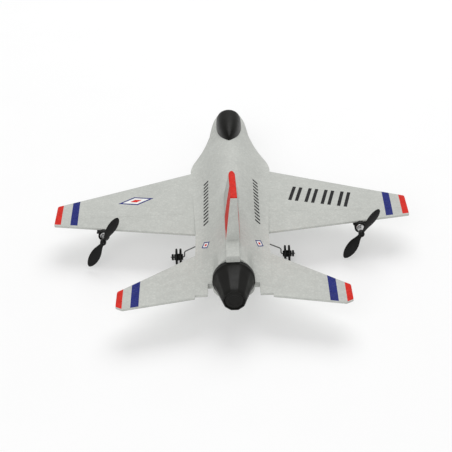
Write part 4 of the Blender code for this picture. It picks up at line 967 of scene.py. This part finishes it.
# ---- Motors and propellers ----
def plate_rings(low, high, radius, stations, steps=5):
    """A plate across y with rounded corners; `stations` gives each ring's y and how far it draws in."""
    corners = ((high[0] - radius, high[1] - radius, 0), (low[0] + radius, high[1] - radius, 1),
               (low[0] + radius, low[1] + radius, 2), (high[0] - radius, low[1] + radius, 3))
    rings = []
    for y, shrink in stations:
        reach, ring = radius - shrink, []
        for x, z, quarter in corners:
            for k in range(steps + 1):
                angle = math.pi / 2 * (quarter + k / steps)
                ring.append((x + reach * math.cos(angle), y, z + reach * math.sin(angle)))
        rings.append(ring)
    return rings


def edge_softened(front, rear, soft=0.15):
    return [(front, soft), (front + soft, 0), (rear - soft, 0), (rear, soft)]


def build_motor(side, sign):
    centre = (sign * MOTOR_X, 0, MOTOR_Z)
    x, (front, rear) = centre[0], POD_YS
    barrel = [(3.8, front), (4.35, front), (POD_RADIUS, front + 0.3), (POD_RADIUS, rear - 0.3), (4.35, rear),
              (3.8, rear), (3.8, front)]
    parts = [turned_rings(barrel, centre, (0, 1, 0), 64),
             plate_rings((x - MOUNT_PLATE_HALF_WIDTH, MOUNT_PLATE_ZS[0]),
                         (x + MOUNT_PLATE_HALF_WIDTH, MOUNT_PLATE_ZS[1]), 0.42, edge_softened(*MOUNT_PLATE_YS))]
    mount = merged(f"motor_pod_{side}", parts, ["black"], slot="black_plastic",
                   replaces=[f"motor_mount_{side}"])
    carve(mount, [hidden_rod((x, 30, MOTOR_Z), (x, 70, MOTOR_Z), MOTOR_RADIUS + 0.15)])
    front, rear = MOTOR_FRONT_Y, MOTOR_REAR_Y
    can = [(0.05, front), (MOTOR_RADIUS - 0.5, front), (MOTOR_RADIUS, front + 0.4), (MOTOR_RADIUS, rear - 0.6),
           (MOTOR_RADIUS - 0.6, rear), (1.3, rear), (1.25, rear + 0.25), (0.62, rear + 0.25), (0.6, rear - 0.4),
           (0.05, rear - 0.4)]
    turned(f"motor_body_{side}", rounded(can, 0.2), centre, (0, 1, 0), "can", 64, slot="steel",
           replaces=[f"motor_can_{side}"])
    cap = [(0.05, front - 2.3), (2.6, front - 2.3), (3.3, front - 1.5), (3.3, front - 0.15),
           (0.05, front - 0.15)]
    turned(f"motor_cap_{side}", rounded(cap, 0.3), centre, (0, 1, 0), "white", 64, slot="white_plastic",
           replaces=[f"motor_end_cap_{side}"])


LEAD_RADIUS, LEAD_TWIST, LEAD_START_Z = 0.29, 5.5, 26.7      # the leads turn once every LEAD_TWIST


def build_motor_leads(side, sign):
    """Red and black leads twisted together, in the slot under the wing."""
    edge = MOTOR_X - MOTOR_RADIUS - CLEARANCE
    route = ((edge, LEAD_START_Z), (edge - 2, LEAD_START_Z), (edge - 6, WIRE_LEVEL_Z), (16, WIRE_LEVEL_Z))
    points = spaced(bent_path([(sign * x, WIRE_SLOT_Y, z) for x, z in route], 0.9), 0.5)
    travelled, strands = 0.0, ([], [])
    for number, (point, (across, up)) in enumerate(zip(points, path_frames(points))):
        if number:
            travelled += (point - points[number - 1]).length
        for half, strand in enumerate(strands):
            angle = 2 * math.pi * travelled / LEAD_TWIST + math.pi * half
            strand.append(point + (across * math.cos(angle) + up * math.sin(angle)) * LEAD_RADIUS)
    tubes = [tube_rings(strand, LEAD_RADIUS, 10) for strand in strands]
    merged(f"motor_leads_{side}", tubes, ["red_wire", "black_wire"], [0, 1], slot="red_wire",
           replaces=[f"motor_wire_{side}"])


BLADE_STATIONS = (     # share of radius, chord, pitch in degrees
    (0.045, 3.5, 42), (0.14, 3.9, 39), (0.24, 5.5, 35), (0.38, 7.9, 30), (0.54, 8.9, 25), (0.68, 8.6, 22),
    (0.80, 7.4, 19), (0.89, 5.7, 17), (0.95, 4.0, 15), (0.985, 2.3, 14), (1.0, 0.9, 14),
)


def blade_rings(lean, centre, points=28, count=44):
    """Sections of one blade from the hub to the round tip; pitch and thickness fall off along it."""
    shares, chords, pitches = zip(*BLADE_STATIONS)
    rings = []
    for step in range(count + 1):
        share = shares[0] + (1 - shares[0]) * math.sin(math.pi / 2 * step / count)
        half = float(np.interp(share, shares, chords)) / 2
        twist = math.radians(float(np.interp(share, shares, pitches)))
        thick = (1.35 - 0.85 * share) / 2
        ring = []
        for a in full_turn(points):
            wide = half * math.cos(a)
            deep = thick * math.sin(a) * (1 - 0.25 * math.cos(a)) + 0.35 * thick * (1 - math.cos(a) ** 2)
            place = Vector((wide * math.cos(twist) - deep * math.sin(twist),
                            wide * math.sin(twist) + deep * math.cos(twist), share * PROPELLER_RADIUS))
            ring.append(Vector(centre) + lean @ place)
        rings.append(ring)
    return rings


def build_propeller(side, sign):
    centre = (sign * MOTOR_X, PROPELLER_Y, MOTOR_Z)
    hub = rounded([(0.65, -2.6), (2.5, -2.6), (2.5, 1.2), (1.7, 2.6), (0.65, 2.6)], 0.5, 5)
    hub = [(0.65, -2.6), *hub[1:], (0.65, -2.6)]
    parts = [turned_rings(hub, centre, (0, 1, 0), 64)]
    for half_turn in (0, math.pi):
        lean = Matrix.Rotation(-PROPELLER_LEAN + half_turn, 3, "Y")
        parts.append(blade_rings(lean, centre))
    merged(f"propeller_{side}_moulding", parts, ["propeller"], body=f"propeller_{side}_body",
           slot="propeller_plastic", replaces=[f"propeller_{side}"])
    front, rear = MOTOR_REAR_Y + CLEARANCE, PROPELLER_Y + 1.6
    shaft = rounded([(0.05, front), (0.5, front), (0.5, rear), (0.05, rear)], 0.15)
    turned(f"motor_axle_{side}", shaft, (centre[0], 0, MOTOR_Z), (0, 1, 0), "can", 32,
           body=f"propeller_{side}_body", slot="steel", replaces=[f"motor_shaft_{side}"])


# ---- Landing gear ----
TREAD_RADIUS, AXLE_BORE = 0.35, 0.62
# Half hub length, hub radius, gap between the discs and disc width, of the main and the nose wheel.
MAIN_WHEEL_DIMS, NOSE_WHEEL_DIMS = (3.6, 2.5, 1.8, 1.5), (2.8, 2.0, 1.4, 1.2)


def wheel_section(radius, half_hub, hub_radius, gap, width):
    """Twin thin discs on one hub, with rounded treads and a shallow dish on the outer faces."""
    inner, outer, tread = gap / 2, gap / 2 + width, TREAD_RADIUS
    right = [(hub_radius + 0.3, inner), (radius - tread, inner), (radius, inner + tread),
             (radius, outer - tread), (radius - tread, outer), (radius - 1.2, outer),
             (radius - 1.5, outer - 0.3), (hub_radius + 0.9, outer - 0.3), (hub_radius, outer + 0.1)]
    left = [(r, -along) for r, along in right[::-1]]
    start = [(AXLE_BORE, -half_hub), (hub_radius - 0.25, -half_hub), (hub_radius, -half_hub + 0.25)]
    end = [(r, -along) for r, along in start[::-1]]
    return [*start, *left, *right, *end, start[0]]


def build_wheel(name, centre, radius, dims, body, node):
    profile = wheel_section(radius, *dims)
    turned(name, profile, centre, (1, 0, 0), "wheel", 96, body=body, slot="black_plastic", replaces=[node])


def build_cap(name, centre, axis, radius, width, node):
    profile = rounded([(0.05, 0), (radius, 0), (radius, width), (0.05, width)], 0.35)
    turned(name, profile, centre, axis, "wheel", 48, slot="black_plastic", replaces=[node])


def build_gear_wire(name, corners, bend, node):
    rings = tube_rings(bent_path(corners, bend), LEG_RADIUS, 20)
    merged(name, [rings], ["steel"], slot="steel", replaces=[node])


def build_gear():
    for side, sign in SIDES:
        route = ((6, LEG_TOP_Z), (26, LEG_TOP_Z), (LEG_X, 12), (LEG_X, WHEEL_RADIUS),
                 (WHEEL_X + 6.4, WHEEL_RADIUS))
        corners = [(sign * x, WHEEL_Y, z) for x, z in route]
        build_gear_wire(f"gear_wire_{side}", corners, 1.6, f"main_gear_leg_{side}")
        build_wheel(f"twin_wheel_{side}", (sign * WHEEL_X, WHEEL_Y, WHEEL_RADIUS), WHEEL_RADIUS,
                    MAIN_WHEEL_DIMS, f"wheel_{side}_body", f"wheel_{side}")
        build_cap(f"axle_cap_{side}", (sign * (WHEEL_X + 4.0), WHEEL_Y, WHEEL_RADIUS), (sign, 0, 0),
                  2.6, 1.6, f"wheel_cap_{side}")
    corners = [(x, NOSE_WHEEL_Y, z) for x, z in ((NOSE_LEG_X, 21.2), (NOSE_LEG_X, NOSE_WHEEL_RADIUS),
                                                 (-5.6, NOSE_WHEEL_RADIUS))]
    build_gear_wire("gear_wire_nose", corners, 1.2, "nose_gear_leg")
    centre = (0, NOSE_WHEEL_Y, NOSE_WHEEL_RADIUS)
    build_wheel("twin_wheel_nose", centre, NOSE_WHEEL_RADIUS, NOSE_WHEEL_DIMS, "nose_wheel_body", "nose_wheel")
    build_cap("axle_cap_nose", (-3.2, *centre[1:]), (-1, 0, 0), 1.7, 1.2, "nose_wheel_cap")


# ---- Printed marks ----
INK_LIFT, INK_SINK = 0.06, 0.12


def quad_patch(corners, height, spacing=1.0):
    """A thin closed slab over four (x, y) corners, following the skin below it, as top and bottom grids."""
    a, b, c, d = (Vector(corner) for corner in corners)
    across = max(1, math.ceil((b - a).length / spacing))
    along = max(1, math.ceil((d - a).length / spacing))
    grid = [[a.lerp(b, i / across).lerp(d.lerp(c, i / across), j / along) for i in range(across + 1)]
            for j in range(along + 1)]
    points = [(p.x, p.y, height(p.x, p.y) + lift)
              for lift in (INK_LIFT, -INK_SINK) for row in grid for p in row]
    wide, layer = across + 1, (across + 1) * (along + 1)
    faces = []
    for j in range(along):
        for i in range(across):
            top = (j * wide + i, j * wide + i + 1, (j + 1) * wide + i + 1, (j + 1) * wide + i)
            faces += [top, tuple(layer + index for index in top[::-1])]
    rim = ([i for i in range(wide)] + [j * wide + across for j in range(1, along + 1)]
           + [along * wide + i for i in range(across - 1, -1, -1)]
           + [j * wide for j in range(along - 1, 0, -1)])
    for index, here in enumerate(rim):
        after = rim[(index + 1) % len(rim)]
        faces.append((here, after, layer + after, layer + here))
    return points, faces


def print_patches(name, patches, height, inks):
    """One piece made of several patches: (corners, ink number)."""
    points, faces, numbers = [], [], []
    for corners, ink in patches:
        new_points, new_faces = quad_patch(corners, height)
        faces += [tuple(len(points) + index for index in face) for face in new_faces]
        numbers += [ink] * len(new_faces)
        points += new_points
    new_piece(name, points, faces, inks, numbers, slot="foam")


def framed_diamond(centre, half_long, half_wide, tilt, border):
    """A diamond with a coloured border, a pale field and a small core, out of quads."""
    turn = Matrix.Rotation(tilt, 2)

    def ring(scale):
        long, wide = half_long * scale, half_wide * scale
        return [Vector(centre) + turn @ Vector(p) for p in ((long, 0), (0, wide), (-long, 0), (0, -wide))]

    outer, inner, core = ring(1), ring(1 - border), ring(0.34)
    patches = []
    for k in range(4):
        after = (k + 1) % 4
        patches.append(((outer[k], outer[after], inner[after], inner[k]), 0))
        patches.append(((inner[k], inner[after], core[after], core[k]), 1))
    patches.append((core, 2))
    return patches


def wing_height(x, y):
    return wing_top(abs(x), y)


def body_height(x, y):
    return upper_height(x / body_half_width(y), y)


STROKE_PAIRS, STROKE_START_X, STROKE_PITCH = 4, 47.6, 13.2
# A stroke's two ends: the first one's y, the step to the next pair, and the sweep within a pair.
STROKE_REAR, STROKE_FRONT = (18.6, 3.9, 0.31), (-3.4, 3.5, 0.3)
STROKE_SHIFTS, STROKE_SLANT, STROKE_WIDE_X, STROKE_WIDE_Y = (0.0, 5.4), 5.2, 2.7, 0.8


def slanted_strokes():
    """Four pairs of slanted strokes that follow the wing's sweep."""
    patches = []
    for number in range(STROKE_PAIRS):
        x = STROKE_START_X + STROKE_PITCH * number
        low_y, high_y = (start + step * number for start, step, _ in (STROKE_REAR, STROKE_FRONT))
        for shift in STROKE_SHIFTS:
            low = (-(x + shift), low_y + STROKE_REAR[2] * shift)
            high = (-(x + shift + STROKE_SLANT), high_y + STROKE_FRONT[2] * shift)
            far = [(end[0] - STROKE_WIDE_X, end[1] + STROKE_WIDE_Y) for end in (low, high)]
            patches.append(((low, *far, high), 0))
    return patches


DASH_COUNT, DASH_START_Y, DASH_XS = 13, -5.5, (18.8, 22.8)
DASH_PITCH, DASH_LENGTH, DASH_RAKE = 5.3, 2.4, 1.6


def side_dashes(sign):
    """A row of short dashes along the body's shoulder."""
    patches = []
    for number in range(DASH_COUNT):
        y = DASH_START_Y + DASH_PITCH * number
        inner, outer = sign * DASH_XS[0], sign * DASH_XS[1]
        outer_y = y + DASH_RAKE
        patches.append((((inner, y), (outer, outer_y), (outer, outer_y + DASH_LENGTH),
                         (inner, y + DASH_LENGTH)), 0))
    return patches


# Centre, half length, half width, tilt and border share of the diamond on the left wing.
WING_DIAMOND = ((79.8, 12.4), 15.0, 6.8, math.radians(14), 0.24)


def build_marks():
    inks = ["blue_ink", "white_ink", "red_ink"]
    print_patches("mark_wing_left", framed_diamond(*WING_DIAMOND), wing_height, inks)
    print_patches("mark_wing_right", slanted_strokes(), wing_height, ["black_ink"])
    for side, sign in SIDES:
        print_patches(f"mark_dashes_{side}", side_dashes(sign), body_height, ["black_ink"])
        diamond = framed_diamond((sign * 21.0, 93.0), 6.2, 3.3, math.radians(90 + sign * 12), 0.3)
        print_patches(f"mark_tail_{side}", diamond, body_height, inks)


# ---- Pieces kept from the CAD model ----
SOFTENED_NODES = (      # node, material, edge radius, record slot
    ("main_gear_block", "black", 0.35, "black_plastic"),
    ("main_gear_clamp", "black", 0.3, "black_plastic"),
    ("nose_gear_block", "black", 0.35, "black_plastic"),
    ("battery_tray", "black", 0.25, "black_plastic"),
    ("battery_door", "black", 0.2, "black_plastic"),
    ("battery_plug", "white", 0.3, "white_plastic"),
    ("board_socket", "white", 0.3, "white_plastic"),
    ("power_switch_body", "grey", 0.25, "grey_plastic"),
    ("power_switch_knob", "white", 0.2, "white_plastic"),
    ("board_tray", "grey", 0.25, "grey_plastic"),
)
KEPT_NODES = {
    "wing_spar": "carbon", "antenna_wire": "black_wire", "receiver_board": "board", "battery": "battery",
    "battery_lead": "red_wire", "status_lamp": "lamp", "gear_screw_left": "steel",
    "gear_screw_right": "steel",
}


def finish_cad_nodes():
    for node, material, width, slot in SOFTENED_NODES:
        softened(node, material, width, slot)
    for node, material in KEPT_NODES.items():
        mesh = frame["nodes"][node].data
        mesh.materials.clear()
        mesh.materials.append(MATERIALS[material])


# ---- Room, light and camera ----
FLOOR_HALF_SIZE = 6.0                                  # metres
FLOOR_COLOUR, FLOOR_GLOW = (0.56, 0.56, 0.56), 0.38    # a faint glow keeps the shadows pale
WORLD_STRENGTH = 0.52
LIGHTS = (              # name, place, target, size, power
    ("key", (-0.25, -1.0, 1.9), (0, 0.05, 0), 1.9, 27),
    ("fill", (0.35, 1.5, 1.1), (0, 0.05, 0), 1.2, 9),
)
LENS_LENGTH, SENSOR_WIDTH, LENS_SHIFT = 99.4, 36, (-0.0135, 0.0113)
CAMERA_PLACE, CAMERA_FORWARD, CAMERA_ROLL = (0, 0.92417, 0.54854), (0, -0.85717, -0.51504), -1.9


def build_floor():
    shader = Shader("studio_floor", FLOOR_COLOUR, 0.9)
    shader.surface.inputs["Specular IOR Level"].default_value = 0.1
    shader.surface.inputs["Emission Color"].default_value = (1, 1, 1, 1)
    shader.surface.inputs["Emission Strength"].default_value = FLOOR_GLOW
    tone = shader.ranged(shader.noise(60, 2), 0.3, 0.7, 0.995, 1.005)
    shader.finish(shader.scaled_colour(FLOOR_COLOUR, tone))
    mesh = bpy.data.meshes.new("studio_floor")
    corners = [(x * FLOOR_HALF_SIZE, y * FLOOR_HALF_SIZE, 0) for x, y in ((-1, -1), (1, -1), (1, 1), (-1, 1))]
    mesh.from_pydata(corners, [], [(0, 1, 2, 3)])
    mesh.materials.append(shader.material)
    in_scene("studio_floor", mesh)


def area_light(name, place, target, size, power):
    lamp = bpy.data.lights.new(name, "AREA")
    lamp.shape, lamp.size, lamp.energy = "DISK", size, power
    light = in_scene(name, lamp)
    light.location = place
    light.rotation_euler = (Vector(target) - Vector(place)).to_track_quat("-Z", "Y").to_euler()


def build_light():
    world = bpy.data.worlds.new("studio")
    world.use_nodes = True
    inputs = world.node_tree.nodes["Background"].inputs
    inputs["Color"].default_value, inputs["Strength"].default_value = (1, 1, 1, 1), WORLD_STRENGTH
    bpy.context.scene.world = world
    for light in LIGHTS:
        area_light(*light)
    bpy.context.scene.view_settings.view_transform = "Standard"


def build_camera():
    """Behind and above the tail, nearly on the centre line, with a slight roll."""
    roll = math.radians(CAMERA_ROLL)
    forward = Vector(CAMERA_FORWARD)
    right, up = Vector((-1, 0, 0)), Vector((0, forward.z, -forward.y))
    across = right * math.cos(roll) + up * math.sin(roll)
    upward = -right * math.sin(roll) + up * math.cos(roll)
    matrix = Matrix((across, upward, -forward)).transposed().to_4x4()
    matrix.translation = Vector(CAMERA_PLACE)
    lens = bpy.data.cameras.new("camera")
    lens.lens, lens.sensor_width = LENS_LENGTH, SENSOR_WIDTH
    lens.shift_x, lens.shift_y = LENS_SHIFT
    camera = in_scene("camera", lens)
    camera.matrix_world = matrix
    bpy.context.scene.camera = camera


def main():
    build_body()
    build_nose_cone()
    build_fin()
    build_canopy()
    build_nozzle()
    for side, sign in SIDES:
        build_wing(side, sign)
        build_tailplane(side, sign)
        build_motor(side, sign)
        build_motor_leads(side, sign)
        build_propeller(side, sign)
    build_gear()
    build_marks()
    finish_cad_nodes()
    build_floor()
    build_light()
    build_camera()


main()
